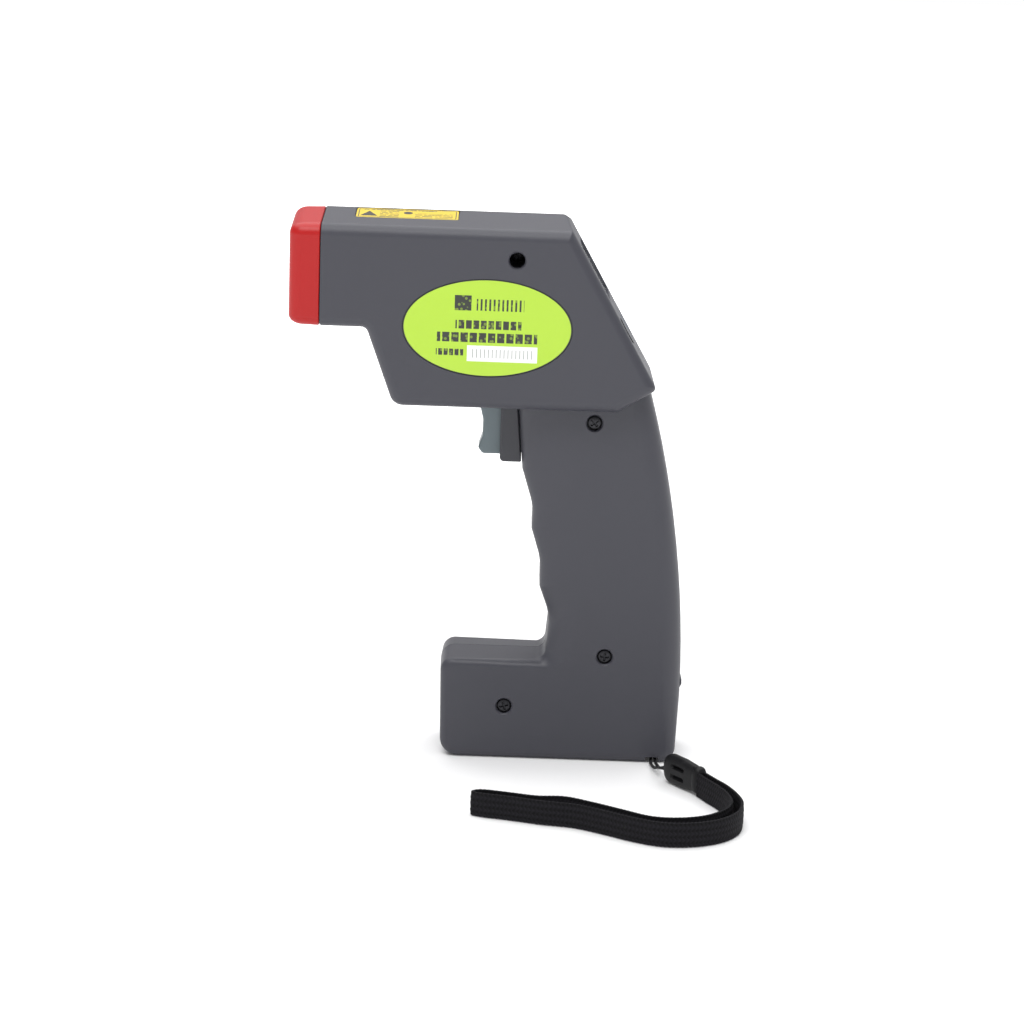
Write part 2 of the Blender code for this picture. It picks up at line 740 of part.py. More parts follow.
def display_group():
    """Window, liquid crystal panel, keys, keypad mat, main board and what sits on it."""
    width, height, slope = WINDOW
    box(
        "display_window",
        (-width / 2, -slope - height / 2, -2.4),
        (width / 2, -slope + height / 2, -0.8),
        "window",
        DISPLAY,
        edge=0.3,
    )
    box(
        "lcd_panel",
        (-width / 2 - 1.0, -slope - height / 2 - 1.0, -5.6),
        (width / 2 + 1.0, -slope + height / 2 + 1.0, -2.9),
        "lcd",
        DISPLAY,
    )
    names = ("up_key", "laser_key", "down_key")
    for k, name in zip((-1, 0, 1), names):
        cap = [
            (0.0, 0.1),
            (KEY_RADIUS - 1.0, 0.0),
            (KEY_RADIUS - 0.2, -0.4),
            (KEY_RADIUS, -1.0),
            (KEY_RADIUS, -2.5),
            (KEY_RADIUS + 0.8, -2.5),
            (KEY_RADIUS + 0.8, -3.1),
            (0.0, -3.1),
        ]
        place = Matrix.Translation(Vector((k * KEY_PITCH, -KEY_SLOPE, 0.0)) * MM)
        turned(name, cap, place, "rubber", DISPLAY, sides=20)
    box(
        "keypad_mat",
        (-20.0, -KEY_SLOPE - 7.5, -5.8),
        (20.0, -KEY_SLOPE + 7.5, -4.3),
        "rubber",
        DISPLAY,
    )
    board = box(
        "main_board",
        (-21.0, -66.0, -BOARD_DEPTH),
        (21.0, -7.0, -BOARD_DEPTH + 1.6),
        "board",
        DISPLAY,
    )
    low = -BOARD_DEPTH
    for i, (x, y) in enumerate(BOARD_SCREWS):
        hole = cylinder(f"board_hole_{i + 1}", (x, y, low - 1), (x, y, low + 3), 1.3, parent=DISPLAY)
        boolean(board, hole, "DIFFERENCE")
        screw = [(0.0, 5.4), (0.9, 5.4), (0.9, -0.3), (1.8, -0.3), (1.8, -1.2), (1.4, -1.6), (0.0, -1.6)]
        place = Matrix.Translation(Vector((x, y, low)) * MM)
        turned(f"board_screw_{i + 1}", screw, place, "steel", DISPLAY, sides=12)
    low -= GAP
    box("processor_chip", (-5.0, -35.0, low - 1.6), (5.0, -25.0, low), "black_plastic", DISPLAY)
    cylinder("buzzer", (10.0, -48.0, low - 4.0), (10.0, -48.0, low), 5.0, "black_plastic", DISPLAY)


# ---------------------------------------------------------------- trigger


def side_plate(name, corners, half, look, pieces=4):
    """An outline in X and Z extruded evenly to both sides of the seam plane."""
    turn = Matrix.Rotation(math.radians(90), 4, "X")
    return outline_plate(name, rounded(corners, pieces), 2 * half, turn, look)


def trigger_group():
    """Trigger blade and tongue, its guide, return spring and switch."""
    low, high = TRIGGER_Z
    blade = side_plate(
        "trigger",
        [
            (-4.3, high, 0.8),
            (7.4, high, 0.4),
            (7.4, low, 0.4),
            (-2.4, low, 1.6),
            (-4.2, low + 2.4, 1.0),
            (-2.5, 132.8, 6.0),
            (-2.5, 139.4, 6.0),
        ],
        TRIGGER_HALF,
        "trigger",
    )
    web = box("trigger_web", (6.0, -4.5, 125.8), (15.6, 4.5, 146.0))
    tongue = box("trigger_tongue", (6.0, -4.5, 130.0), (20.0, 4.5, 142.0))
    boolean(blade, web, "UNION")
    boolean(blade, tongue, "UNION")
    top = HEAD_BOTTOM - GAP
    guide = side_plate(
        "trigger_guide",
        [
            (GUIDE_FRONT, top, 0.4),
            (11.4, top, 0.4),
            (13.5, GUIDE_BOTTOM, 0.4),
            (GUIDE_FRONT, GUIDE_BOTTOM, 1.6),
        ],
        GUIDE_HALF,
        "guide",
    )
    channel = box("guide_channel", (-5, -TRIGGER_HALF - GAP, low - GAP), (30, TRIGGER_HALF + GAP, 160))
    boolean(guide, channel, "DIFFERENCE")
    start, end = SPRING_X
    turns, per_turn = 5, 8
    coil = []
    for k in range(turns * per_turn + 1):
        angle = 2 * math.pi * k / per_turn
        x = start + 0.3 + (end - start - 0.6) * k / (turns * per_turn)
        coil.append((x, 2.6 * math.cos(angle), SPRING_Z + 2.6 * math.sin(angle)))
    wire("trigger_spring", coil, 0.3, "steel", steps=1)
    box("trigger_switch", (21.2, -3.2, 144.2), (34.0, 3.2, 150.8), "black_plastic")


# ---------------------------------------------------------------- battery


def battery_group():
    """Block battery, its snap and leads, and the rear door."""
    (start, end), (low, high) = BATTERY_X, BATTERY_Z
    cell = box("battery", (start, -BATTERY_HALF, low), (end, BATTERY_HALF, high), "battery", edge=1.2)
    middle = (low + high) / 2
    for k in (-1, 1):
        stud = cylinder(
            f"battery_stud_{k + 1}",
            (start + 1, 0, middle + 6.3 * k),
            (start - 2.4, 0, middle + 6.3 * k),
            3.2,
        )
        boolean(cell, stud, "UNION")
    box(
        "battery_snap",
        (start - 5.6, -6.0, low + 1.6),
        (start - 2.7, 6.0, high - 1.6),
        "black_plastic",
        edge=0.6,
    )
    door = side_plate(
        "battery_door",
        [
            (78.6, DOOR_Z[1], 0.3),
            (82.2, DOOR_Z[1], 0.5),
            (82.75, 33.8, 0.5),
            (82.75, 31.8, 0.5),
            (82.1, 30.6, 0.5),
            (80.95, DOOR_Z[0], 1.1),
            (78.6, DOOR_Z[0], 1.1),
        ],
        DOOR_HALF,
        "housing",
        pieces=3,
    )
    move_origin(door, (DOOR_PIVOT[0], 0.0, DOOR_PIVOT[1]))
    snap_x = start - 6.3
    for name, look, y, exit_z in (
        ("battery_lead_red", "red_wire", -2.4, high - 5.0),
        ("battery_lead_black", "black_wire", 2.4, low + 7.0),
    ):
        route = [
            (snap_x, y, exit_z),
            (snap_x - 4.0, y, exit_z + 2.0),
            (23.0, y, 35.8),
            (30.0, y, 40.0),
            (33.0, y, 49.0),
            (34.5, y, 64.0),
            (35.4, y, 90.0),
            (35.5, y, 118.0),
            (35.5, y, 140.0),
            (37.0, y, 156.0),
            (46.8, y, 169.0),
        ]
        wire(name, route, 0.6, look)


def leads():
    """The sensor's and the laser's leads back to the main board."""
    sensor_x = NOSE_END + 0.4 + 26.0 + 8.8
    wire(
        "sensor_lead",
        [
            (sensor_x + 0.9, 4.0, LENS_Z),
            (-22.0, 5.0, LENS_Z + 0.5),
            (-4.0, 8.0, 192.0),
            (16.0, 8.6, 188.0),
            (36.9, 8.6, 189.0),
        ],
        0.7,
        "black_wire",
    )
    laser_x = NOSE_END + 0.4 + 19.0
    wire(
        "laser_lead",
        [
            (laser_x + 0.9, 0.0, LASER_Z),
            (-36.0, -2.0, LASER_Z + 0.5),
            (-14.0, -6.0, 200.0),
            (14.0, -9.0, 192.0),
            (35.2, -9.0, 192.0),
        ],
        0.7,
        "red_wire",
    )


# ---------------------------------------------------------------- housing screws


def housing_screws():
    """The four pan-head screws with a cross recess, driven in from the left."""
    for name, (x, z, outer, depth) in SCREWS.items():
        top = outer - depth
        profile = [
            (0.0, 0.0),
            (SCREW_HEAD - 1.0, -0.05),
            (SCREW_HEAD - 0.25, -0.5),
            (SCREW_HEAD, -1.1),
            (SCREW_HEAD, -2.1),
            (SCREW_SHANK, -2.1),
            (SCREW_SHANK, -top - 9.0),
            (0.4, -top - 11.0),
            (0.0, -top - 11.0),
        ]
        screw = turned(name, profile, left_side_place(x, z, -top), "screw", sides=16)
        for k in (0, 1):
            low, high = (-1.9, -0.35, -1.2), (1.9, 0.35, 1.0)
            slot = box(f"{name}_slot_{k}", low, high)
            turn = Matrix.Rotation(math.radians(90 * k + 20), 4, "Z")
            slot.matrix_world = left_side_place(x, z, -top) @ turn
            boolean(screw, slot, "DIFFERENCE")


# ---------------------------------------------------------------- wrist strap

# Plan points of the band's centre line, from the clip round the far bend to the fold and back.
BAND_ROUTE = [
    (91.0, -57.9),
    (94.0, -63.8),
    (97.8, -71.0),
    (101.0, -80.0),
    (102.6, -90.4),
    (100.3, -101.4),
    (93.4, -110.6),
    (82.6, -116.2),
    (70.6, -117.0),
    (59.6, -112.4),
    (49.2, -105.8),
    (38.4, -100.0),
    (26.0, -97.4),
    (13.4, -93.6),
    (3.0, -91.0),
    (-0.9, -88.8),
    (2.8, -86.7),
    (12.6, -88.9),
    (23.8, -91.8),
    (34.4, -91.6),
    (45.0, -97.0),
    (56.2, -104.2),
    (66.8, -110.6),
    (77.6, -111.2),
    (88.2, -107.2),
    (95.6, -99.0),
    (98.6, -89.8),
    (97.5, -80.4),
    (94.4, -72.0),
    (91.0, -65.2),
    (88.6, -59.8),
]


def ribbon(route, thickness):
    """The closed outline of a strip of that thickness along a line in the plane."""
    left, right = [], []
    for i, point in enumerate(route):
        before, after = route[max(i - 1, 0)], route[min(i + 1, len(route) - 1)]
        along = (after - before).normalized()
        off = Vector((-along.y, along.x)) * thickness / 2
        left.append(point + off)
        right.append(point - off)
    return [*left, *right[::-1]]


def strap():
    """String loop round the pin, moulded clip on edge, and the woven band on edge."""
    x, y, z = PIN
    tip, mouth = Vector(CLIP_TIP), Vector(CLIP_MOUTH)
    along = (mouth - tip).normalized()
    aside = Vector((-along.y, along.x))
    level = 0.3 + CLIP_HEIGHT / 2
    turn = Matrix(
        (Vector((*along, 0)), Vector((0, 0, 1)), Vector((*along, 0)).cross(Vector((0, 0, 1))))
    ).transposed().to_4x4()
    length = (mouth - tip).length
    half = CLIP_HEIGHT / 2
    shape = [
        (0.0, half, 5.0),
        (length * 0.6, half, 6.0),
        (length, half - 1.4, 0.6),
        (length, -half + 1.4, 0.6),
        (length * 0.6, -half, 6.0),
        (0.0, -half, 5.0),
    ]
    place = Matrix.Translation(Vector((*tip, level)) * MM) @ turn
    clip = outline_plate("strap_clip", rounded(shape, 5), CLIP_THICK, place, "black_plastic")
    bevel(clip, 1.6, 3, 50)
    entry = tip - along * 0.9
    near, far = entry + aside * 1.6, entry - aside * 1.6
    loop = [
        (near.x, near.y, level - 1.0),
        (75.3, -36.6, 4.6),
        (74.2, -30.0, 2.2),
        (73.2, -21.0, 1.0),
        (73.0, -16.5, 0.95),
        (73.0, -12.6, 0.95),
        (72.9, y + 1.8, z),
        (72.4, y, z + 1.75),
        (71.6, y - 1.8, z + 0.2),
        (71.2, y - 2.8, 0.95),
        (71.0, -21.0, 1.0),
        (72.0, -29.5, 2.0),
        (73.2, -36.3, 4.4),
        (far.x, far.y, level - 1.0),
    ]
    wire("strap_string", loop, STRING_RADIUS, "strap")
    route = [Vector((p.x, p.y)) for p in smooth_path([(*p, 0.0) for p in BAND_ROUTE], 2)]
    place = Matrix.Translation(Vector((0, 0, GAP + BAND_WIDTH / 2)) * MM)
    outline_plate("strap_band", ribbon(route, BAND_THICK), BAND_WIDTH, place, "strap")


# ---------------------------------------------------------------- build

clear_scene()
PARTS = new_collection("infrared_thermometer")
CUTTERS = new_collection("cutters")
CUTTERS.hide_render = True
DISPLAY = display_frame()
SHARED_CUTTERS = shared_cutters()
housings_and_labels()
bezel()
optics()
display_group()
trigger_group()
battery_group()
leads()
housing_screws()
strap()
bpy.context.view_layer.update()
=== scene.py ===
"""Looks of a pistol-grip infrared thermometer: housings, nose, trigger, keys, labels and strap.

It is laid out as an add-on and run as a script. Surfaces are worked out with numpy round the frame.
Lengths in the tables are millimetres, and MM turns them into metres.
"""

import math

import bmesh
import bpy
import numpy as np
from mathutils import Euler, Matrix, Vector


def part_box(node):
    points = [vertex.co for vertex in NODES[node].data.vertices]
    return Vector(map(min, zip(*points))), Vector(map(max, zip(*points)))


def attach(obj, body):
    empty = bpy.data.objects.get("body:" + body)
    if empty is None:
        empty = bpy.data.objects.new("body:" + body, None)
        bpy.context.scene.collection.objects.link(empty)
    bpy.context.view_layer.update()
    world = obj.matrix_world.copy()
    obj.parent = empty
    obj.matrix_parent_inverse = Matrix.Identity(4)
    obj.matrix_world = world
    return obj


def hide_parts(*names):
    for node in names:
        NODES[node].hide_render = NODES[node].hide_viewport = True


bl_info = {
    "name": "Infrared Thermometer Looks",
    "version": (1, 0, 0),
    "blender": (4, 5, 0),
    "location": "3D View > Sidebar > Thermometer",
    "description": "Builds the visible surfaces of a handheld infrared thermometer",
    "category": "Object",
}

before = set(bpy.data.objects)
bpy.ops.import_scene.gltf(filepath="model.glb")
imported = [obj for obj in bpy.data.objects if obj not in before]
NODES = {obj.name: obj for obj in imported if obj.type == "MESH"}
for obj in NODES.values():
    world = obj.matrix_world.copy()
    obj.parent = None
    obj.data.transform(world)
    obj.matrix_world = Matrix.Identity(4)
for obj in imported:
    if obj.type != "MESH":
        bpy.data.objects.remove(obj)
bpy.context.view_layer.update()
MM = 0.001

HEAD_TOP = 222.6
NOSE_BOTTOM = 178.0
NOSE_END = -67.8
BEZEL_FRONT = -80.3
HEAD_BOTTOM = 147.2
ROOF_SLOPE = math.radians(10.0)
FACE_TOP = (28.2, 222.6)
FACE_LOW = (66.3, 156.8)
GRIP_HALF = 18.2
GRIP_ROUND = 9.0
FOOT_TOP = 43.0
FOOT_FRONT = -17.0
FOOT_EDGE = 3.0
SEAM = 0.15
LENS_Z = 194.6
LASER_Z = 209.4

SCREWS = {
    "head_screw": (9.2, 206.6, 27.0, 18.0),
    "grip_upper_screw": (42.3, 141.5, 18.2, 0.7),
    "grip_lower_screw": (50.3, 44.6, 18.2, 0.7),
    "foot_screw": (9.9, 22.3, 18.2, 0.7),
}
OVAL = (-1.7, 179.6, 66.5, 38.2)
ROOF_LABEL = (-35.0, 40.5, 12.6)
DOOR_PIVOT = (79.78, 5.05)
PIN = (71.5, -13.2, 2.5)
CLIP_TIP = (76.2, -38.8)
CLIP_MOUTH = (88.9, -56.9)


# ================================================================ user values


class ThermometerSizes(bpy.types.PropertyGroup):
    """Sizes of the thermometer's surfaces that a user would change."""

    head_half: bpy.props.FloatProperty(
        name="Head half width",
        description="From the parting plane to the side of the head",
        default=0.027,
        unit="LENGTH",
    )
    wall: bpy.props.FloatProperty(
        name="Wall", description="Thickness of the moulded housing", default=0.0022, unit="LENGTH"
    )
    roof_edge: bpy.props.FloatProperty(
        name="Roof edge", description="Radius along the edges of the roof", default=0.005, unit="LENGTH"
    )
    head_edge: bpy.props.FloatProperty(
        name="Head edge", description="Radius along the head's other edges", default=0.004, unit="LENGTH"
    )
    band_width: bpy.props.FloatProperty(
        name="Band width", description="Width of the woven wrist band", default=0.0095, unit="LENGTH"
    )
    band_thick: bpy.props.FloatProperty(
        name="Band thickness", description="Thickness of the woven wrist band", default=0.0016, unit="LENGTH"
    )
    arc_pieces: bpy.props.IntProperty(
        name="Arc pieces", description="Pieces in each rounded corner of an outline", default=12, min=3
    )


def colour_value(name, description, default):
    """A colour property."""
    return bpy.props.FloatVectorProperty(
        name=name, description=description, default=default, size=3, subtype="COLOR", min=0.0, max=1.0
    )


class ThermometerColours(bpy.types.PropertyGroup):
    """Base colours of the thermometer's finishes."""

    housing: colour_value("Housing", "Blue-grey moulded shells", (0.0425, 0.0428, 0.0545))
    # The guide's colour is the housing's blue-grey made darker: painted shade for the shadow that the head
    # casts on the block.
    guide: colour_value("Guide", "Dark block that the trigger slides in", (0.037, 0.0375, 0.045))
    nose: colour_value("Nose", "Red nose ring", (0.385, 0.0060, 0.0060))
    trigger: colour_value("Trigger", "Pale trigger", (0.122, 0.156, 0.170))
    green: colour_value("Oval label", "Lime ground of the side label", (0.42, 0.66, 0.028))
    yellow: colour_value("Roof label", "Yellow ground of the roof label", (0.72, 0.53, 0.004))
    strap: colour_value("Strap", "Black nylon", (0.0045, 0.0042, 0.0054))


# ================================================================ shader maths


class Value:
    """A shader socket that numbers and other values can be added to, multiplied by and so on."""

    def __init__(self, paint, socket):
        self.paint = paint
        self.socket = socket

    def maths(self, operation, *others, swap=False):
        """A Math node on this value and the others."""
        inputs = [self, *others]
        if swap:
            inputs.reverse()
        return self.paint.node("ShaderNodeMath", {"operation": operation}, inputs)

    def __add__(self, other):
        return self.maths("ADD", other)

    def __sub__(self, other):
        return self.maths("SUBTRACT", other)

    def __rsub__(self, other):
        return self.maths("SUBTRACT", other, swap=True)

    def __mul__(self, other):
        return self.maths("MULTIPLY", other)

    def __truediv__(self, other):
        return self.maths("DIVIDE", other)

    def __abs__(self):
        return self.maths("ABSOLUTE")

    def __lt__(self, other):
        return self.maths("LESS_THAN", other)

    def __gt__(self, other):
        return self.maths("GREATER_THAN", other)

    __radd__ = __add__
    __rmul__ = __mul__

    def sine(self):
        """Its sine."""
        return self.maths("SINE")

    def power(self, exponent):
        """It raised to a power."""
        return self.maths("POWER", exponent)

    def smallest(self, other):
        """The smaller of the two."""
        return self.maths("MINIMUM", other)

    def largest(self, other):
        """The larger of the two."""
        return self.maths("MAXIMUM", other)

    def clamped(self):
        """It kept between 0 and 1."""
        return self.largest(0.0).smallest(1.0)

    def repeat(self, period):
        """Distance into the current repeat, from 0 to period."""
        return self.maths("FLOORED_MODULO", period)


class Paint:
    """One material being made: a Principled shader and the nodes that feed it."""

    def __init__(self, name, base, roughness, metallic=0.0, **constants):
        self.material = bpy.data.materials.new(name)
        self.material.use_nodes = True
        self.tree = self.material.node_tree
        self.shader = self.tree.nodes["Principled BSDF"]
        self.material.diffuse_color = (*base, 1.0)
        self.base = tuple(base)
        self.set("Base Color", (*base, 1.0))
        self.set("Roughness", roughness)
        self.set("Metallic", metallic)
        for socket, value in constants.items():
            self.set(socket.replace("_", " ").title().replace("Ior", "IOR"), value)
        self.bumps = None

    def set(self, socket, value):
        """A constant on the shader, or a link if the value is computed."""
        if isinstance(value, Value):
            self.tree.links.new(value.socket, self.shader.inputs[socket])
        else:
            self.shader.inputs[socket].default_value = value

    def node(self, kind, settings=None, inputs=(), output=0):
        """Any node: its type, its settings, and the values or links of its sockets by place or name."""
        made = self.tree.nodes.new(kind)
        for name, value in (settings or {}).items():
            if name == "stops":
                self.fill_ramp(made.color_ramp, value)
            else:
                setattr(made, name, value)
        pairs = inputs.items() if isinstance(inputs, dict) else enumerate(inputs)
        for place, value in pairs:
            if isinstance(value, Value):
                self.tree.links.new(value.socket, made.inputs[place])
            elif value is not None:
                made.inputs[place].default_value = value
        return Value(self, made.outputs[output])

    @staticmethod
    def fill_ramp(ramp, stops):
        """Sets a colour ramp's stops from (position, grey) pairs."""
        while len(ramp.elements) < len(stops):
            ramp.elements.new(0.5)
        for element, (position, grey) in zip(ramp.elements, stops):
            element.position = position
            element.color = (grey, grey, grey, 1.0)

    def place(self, offset=(0.0, 0.0, 0.0)):
        """Object coordinates as three values, measured from a point."""
        made = self.tree.nodes.new("ShaderNodeTexCoord")
        moved = self.node(
            "ShaderNodeVectorMath",
            {"operation": "SUBTRACT"},
            {0: Value(self, made.outputs["Object"]), 1: offset},
        )
        return moved, self.split(moved)

    def split(self, vector):
        """The three values of a vector."""
        made = self.tree.nodes.new("ShaderNodeSeparateXYZ")
        self.tree.links.new(vector.socket, made.inputs[0])
        return tuple(Value(self, socket) for socket in made.outputs)

    def noise(self, where, scale, detail=2.0, roughness=0.5, output=0):
        """Noise from 0 to 1, with that many features a metre."""
        sockets = {"Vector": where, "Scale": scale, "Detail": detail, "Roughness": roughness}
        return self.node("ShaderNodeTexNoise", None, sockets, output)

    def ramp(self, value, *stops):
        """The value through a ramp of (position, grey) stops."""
        return self.node("ShaderNodeValToRGB", {"stops": stops}, [value])

    def mix(self, factor, first, second):
        """A colour between two, by the factor."""
        made = self.tree.nodes.new("ShaderNodeMix")
        made.data_type = "RGBA"
        for place, value in ((0, factor), (6, first), (7, second)):
            if isinstance(value, Value):
                self.tree.links.new(value.socket, made.inputs[place])
            elif place:
                made.inputs[place].default_value = (*value[:3], 1.0)
            else:
                made.inputs[place].default_value = value
        return Value(self, made.outputs[2])

    def bump(self, height, distance, strength=1.0):
        """Adds a bump of that height in metres to the normal."""
        made = self.tree.nodes.new("ShaderNodeBump")
        made.inputs["Strength"].default_value = strength
        made.inputs["Distance"].default_value = distance
        self.tree.links.new(height.socket, made.inputs["Height"])
        if self.bumps is not None:
            self.tree.links.new(self.bumps.socket, made.inputs["Normal"])
        self.bumps = Value(self, made.outputs[0])
        self.set("Normal", self.bumps)


def shade(colour, factor):
    """A colour made darker or lighter."""
    return tuple(min(channel * factor, 1.0) for channel in colour)


def moulded(name, base, roughness=0.5, grain=0.00002, drift=0.05, scuffs=0.35, **constants):
    """Spark-eroded moulded plastic: fine grain bump, slow colour drift, faint scuffs and dust."""
    paint = Paint(name, base, roughness, **constants)
    where, _ = paint.place()
    fine = paint.noise(where, 2600.0, 3.0, 0.6)
    coarse = paint.noise(where, 900.0, 2.0, 0.55)
    drifting = paint.noise(where, 28.0, 2.0, 0.5)
    stretched = paint.node(
        "ShaderNodeMapping",
        None,
        {"Vector": where, "Rotation": (0.2, 0.5, 0.35), "Scale": (1.0, 9.0, 9.0)},
    )
    marks = paint.ramp(paint.noise(stretched, 95.0, 5.0, 0.62), (0.63, 0.0), (0.78, 1.0))
    marks = marks * paint.ramp(paint.noise(where, 40.0, 1.0), (0.52, 0.0), (0.66, 1.0)) * scuffs
    tone = paint.mix(drifting, shade(base, 1.0 - drift), shade(base, 1.0 + drift))
    tone = paint.mix(fine * 0.16, tone, shade(base, 1.35))
    tone = paint.mix(marks * 0.5, tone, shade(base, 1.6))
    paint.set("Base Color", tone)
    paint.set("Roughness", (drifting - 0.5) * 0.10 + (fine - 0.5) * 0.12 + roughness - marks * 0.12)
    paint.bump(fine * 0.65 + coarse * 0.35, grain, 0.9)
    return paint.material


def smooth_plastic(name, base, roughness=0.25, **constants):
    """Polished moulded plastic: long soft ripples, hairline marks and a little dust."""
    paint = Paint(name, base, roughness, **constants)
    where, _ = paint.place()
    ripple = paint.noise(where, 60.0, 2.0)
    speck = paint.ramp(paint.noise(where, 1500.0, 2.0), (0.70, 0.0), (0.80, 1.0))
    paint.set("Base Color", paint.mix(speck * 0.25 + ripple * 0.15, base, shade(base, 1.5)))
    paint.set("Roughness", ripple * 0.10 + speck * 0.2 + roughness - 0.05)
    paint.bump(ripple, 0.00006, 0.4)
    return paint.material


def metal(name, base, roughness=0.3, brushed=(1.0, 1.0, 40.0)):
    """Metal with a drawn or turned grain."""
    paint = Paint(name, base, roughness, 1.0)
    where, _ = paint.place()
    along = paint.node("ShaderNodeMapping", None, {"Vector": where, "Scale": brushed})
    lines = paint.noise(along, 300.0, 3.0, 0.6)
    stain = paint.noise(where, 140.0, 2.0)
    paint.set("Base Color", paint.mix(stain * 0.5, shade(base, 0.8), shade(base, 1.15)))
    paint.set("Roughness", lines * 0.16 + stain * 0.1 + roughness - 0.12)
    paint.bump(lines, 0.00001, 0.6)
    return paint.material


def circuit_board(name):
    """Green solder mask with copper tracks under it and tinned pads."""
    base = (0.012, 0.12, 0.045)
    paint = Paint(name, base, 0.3, coat_weight=0.4)
    where, (x, y, z) = paint.place()
    cells = paint.node(
        "ShaderNodeTexVoronoi", {"feature": "F1", "distance": "CHEBYCHEV"}, {"Vector": where, "Scale": 260.0}
    )
    tracks = paint.ramp(cells, (0.42, 0.0), (0.46, 1.0))
    pads = paint.ramp(paint.noise(where, 520.0, 0.0), (0.72, 0.0), (0.74, 1.0))
    tone = paint.mix(tracks * 0.6, base, (0.03, 0.25, 0.09))
    paint.set("Base Color", paint.mix(pads, tone, (0.6, 0.6, 0.58)))
    paint.set("Metallic", pads)
    paint.bump(tracks, 0.00003, 0.5)
    return paint.material


def bar(across, along, centre, size):
    """A soft-edged mask that is 1 inside a rectangle in two coordinates (metres)."""
    sides = size[0] / 2 - abs(across - centre[0])
    ends = size[1] / 2 - abs(along - centre[1])
    return (sides.smallest(ends) * 12000.0 + 0.5).clamped()


def oval_print(name, green):
    """The side label: dark rim, a tick scale, plain bars, and a white field with fine ticks."""
    x0, z0, long, short = (value * MM for value in OVAL)
    paint = Paint(name, green, 0.34, coat_weight=0.25)
    where, (x, _, z) = paint.place((x0, 0.0, z0))
    ring = (x * (2.0 / long)).power(2.0) + (z * (2.0 / short)).power(2.0)
    rim = ((ring - 0.972) * 60.0).clamped()
    ink = bar(x, z, (-0.0098, 0.0098), (0.0066, 0.0060))
    ticks = bar(x.repeat(0.0017), z, (0.00085, 0.0092), (0.00075, 0.0046))
    ink = ink.largest(ticks * bar(x, z, (0.0049, 0.0092), (0.0187, 0.0062)))
    blocks = bar(x.repeat(0.00292), z, (0.00146, 0.0013), (0.00225, 0.0034))
    ink = ink.largest(blocks * bar(x, z, (0.0004, 0.0013), (0.0260, 0.0040)))
    blocks = bar(x.repeat(0.00361), z, (0.00180, -0.0038), (0.00290, 0.0038))
    ink = ink.largest(blocks * bar(x, z, (0.0, -0.0038), (0.0395, 0.0042)))
    blocks = bar(x.repeat(0.00215), z, (0.00107, -0.0098), (0.00160, 0.0026))
    ink = ink.largest(blocks * bar(x, z, (-0.0146, -0.0098), (0.0108, 0.0028)))
    hollow = (paint.node("ShaderNodeTexVoronoi", None, {"Vector": where, "Scale": 620.0}) - 0.30) * 9.0
    ink = ink * (hollow.clamped() * 0.35 + 0.65)
    field = bar(x, z, (0.0061, -0.0101), (0.0277, 0.0063))
    fine = bar(x.repeat(0.00155), z, (0.0007, -0.0101), (0.00028, 0.0034))
    fine = fine * bar(x, z, (0.0061, -0.0101), (0.0245, 0.0050)) * 0.75
    grain = paint.noise(where, 900.0, 3.0)
    tone = paint.mix(grain * 0.3, green, shade(green, 0.9))
    tone = paint.mix(ink, tone, (0.014, 0.018, 0.010))
    tone = paint.mix(field, tone, (0.86, 0.87, 0.85))
    tone = paint.mix(fine, tone, (0.05, 0.05, 0.05))
    paint.set("Base Color", paint.mix(rim, tone, (0.02, 0.026, 0.012)))
    paint.set("Roughness", grain * 0.12 + ink * 0.06 + 0.28)
    paint.bump(grain, 0.00001, 0.5)
    return paint.material


def roof_print(name, yellow):
    """The roof label: thin dark border, a plain dark triangle, a round spot and rows of fine bars."""
    x0, long, wide = (value * MM for value in ROOF_LABEL)
    y0 = -(wide / 2 + 0.0008)
    paint = Paint(name, yellow, 0.32, coat_weight=0.3)
    where, (x, y, _) = paint.place((x0, y0, 0.0))
    inner = bar(x, y, (0.0, 0.0), (long - 0.0016, wide - 0.0016))
    outer = bar(x, y, (0.0, 0.0), (long - 0.0023, wide - 0.0023))
    ink = inner - outer
    slope = 0.0026 - abs(x + 0.0152) * 1.9 - y
    ink = ink.largest((slope.smallest(y + 0.0040) * 9000.0 + 0.5).clamped())
    spot = (x - 0.0002).power(2.0) + (y - 0.0012).power(2.0)
    ink = ink.largest(((0.0018**2 - spot) * 4.0e6 + 0.5).clamped())
    rows = bar(x, y.repeat(0.0019), (0.0105, 0.00095), (0.0150, 0.0007))
    broken = paint.ramp(paint.noise(where, 900.0, 0.0), (0.38, 0.0), (0.42, 1.0))
    ink = ink.largest(rows * broken * bar(x, y, (0.0105, -0.0019), (0.0150, 0.0057)))
    ink = ink.largest(bar(x, y.repeat(0.0019), (-0.0072, 0.00095), (0.0075, 0.0007)) * broken)
    heads = bar(x, y, (-0.0030, 0.0046), (0.0290, 0.0008))
    ink = ink.largest(heads * broken)
    grain = paint.noise(where, 900.0, 3.0)
    tone = paint.mix(grain * 0.3, yellow, shade(yellow, 0.88))
    paint.set("Base Color", paint.mix(ink.clamped(), tone, (0.02, 0.018, 0.01)))
    paint.set("Roughness", grain * 0.12 + 0.28)
    paint.bump(grain, 0.00001, 0.5)
    return paint.material


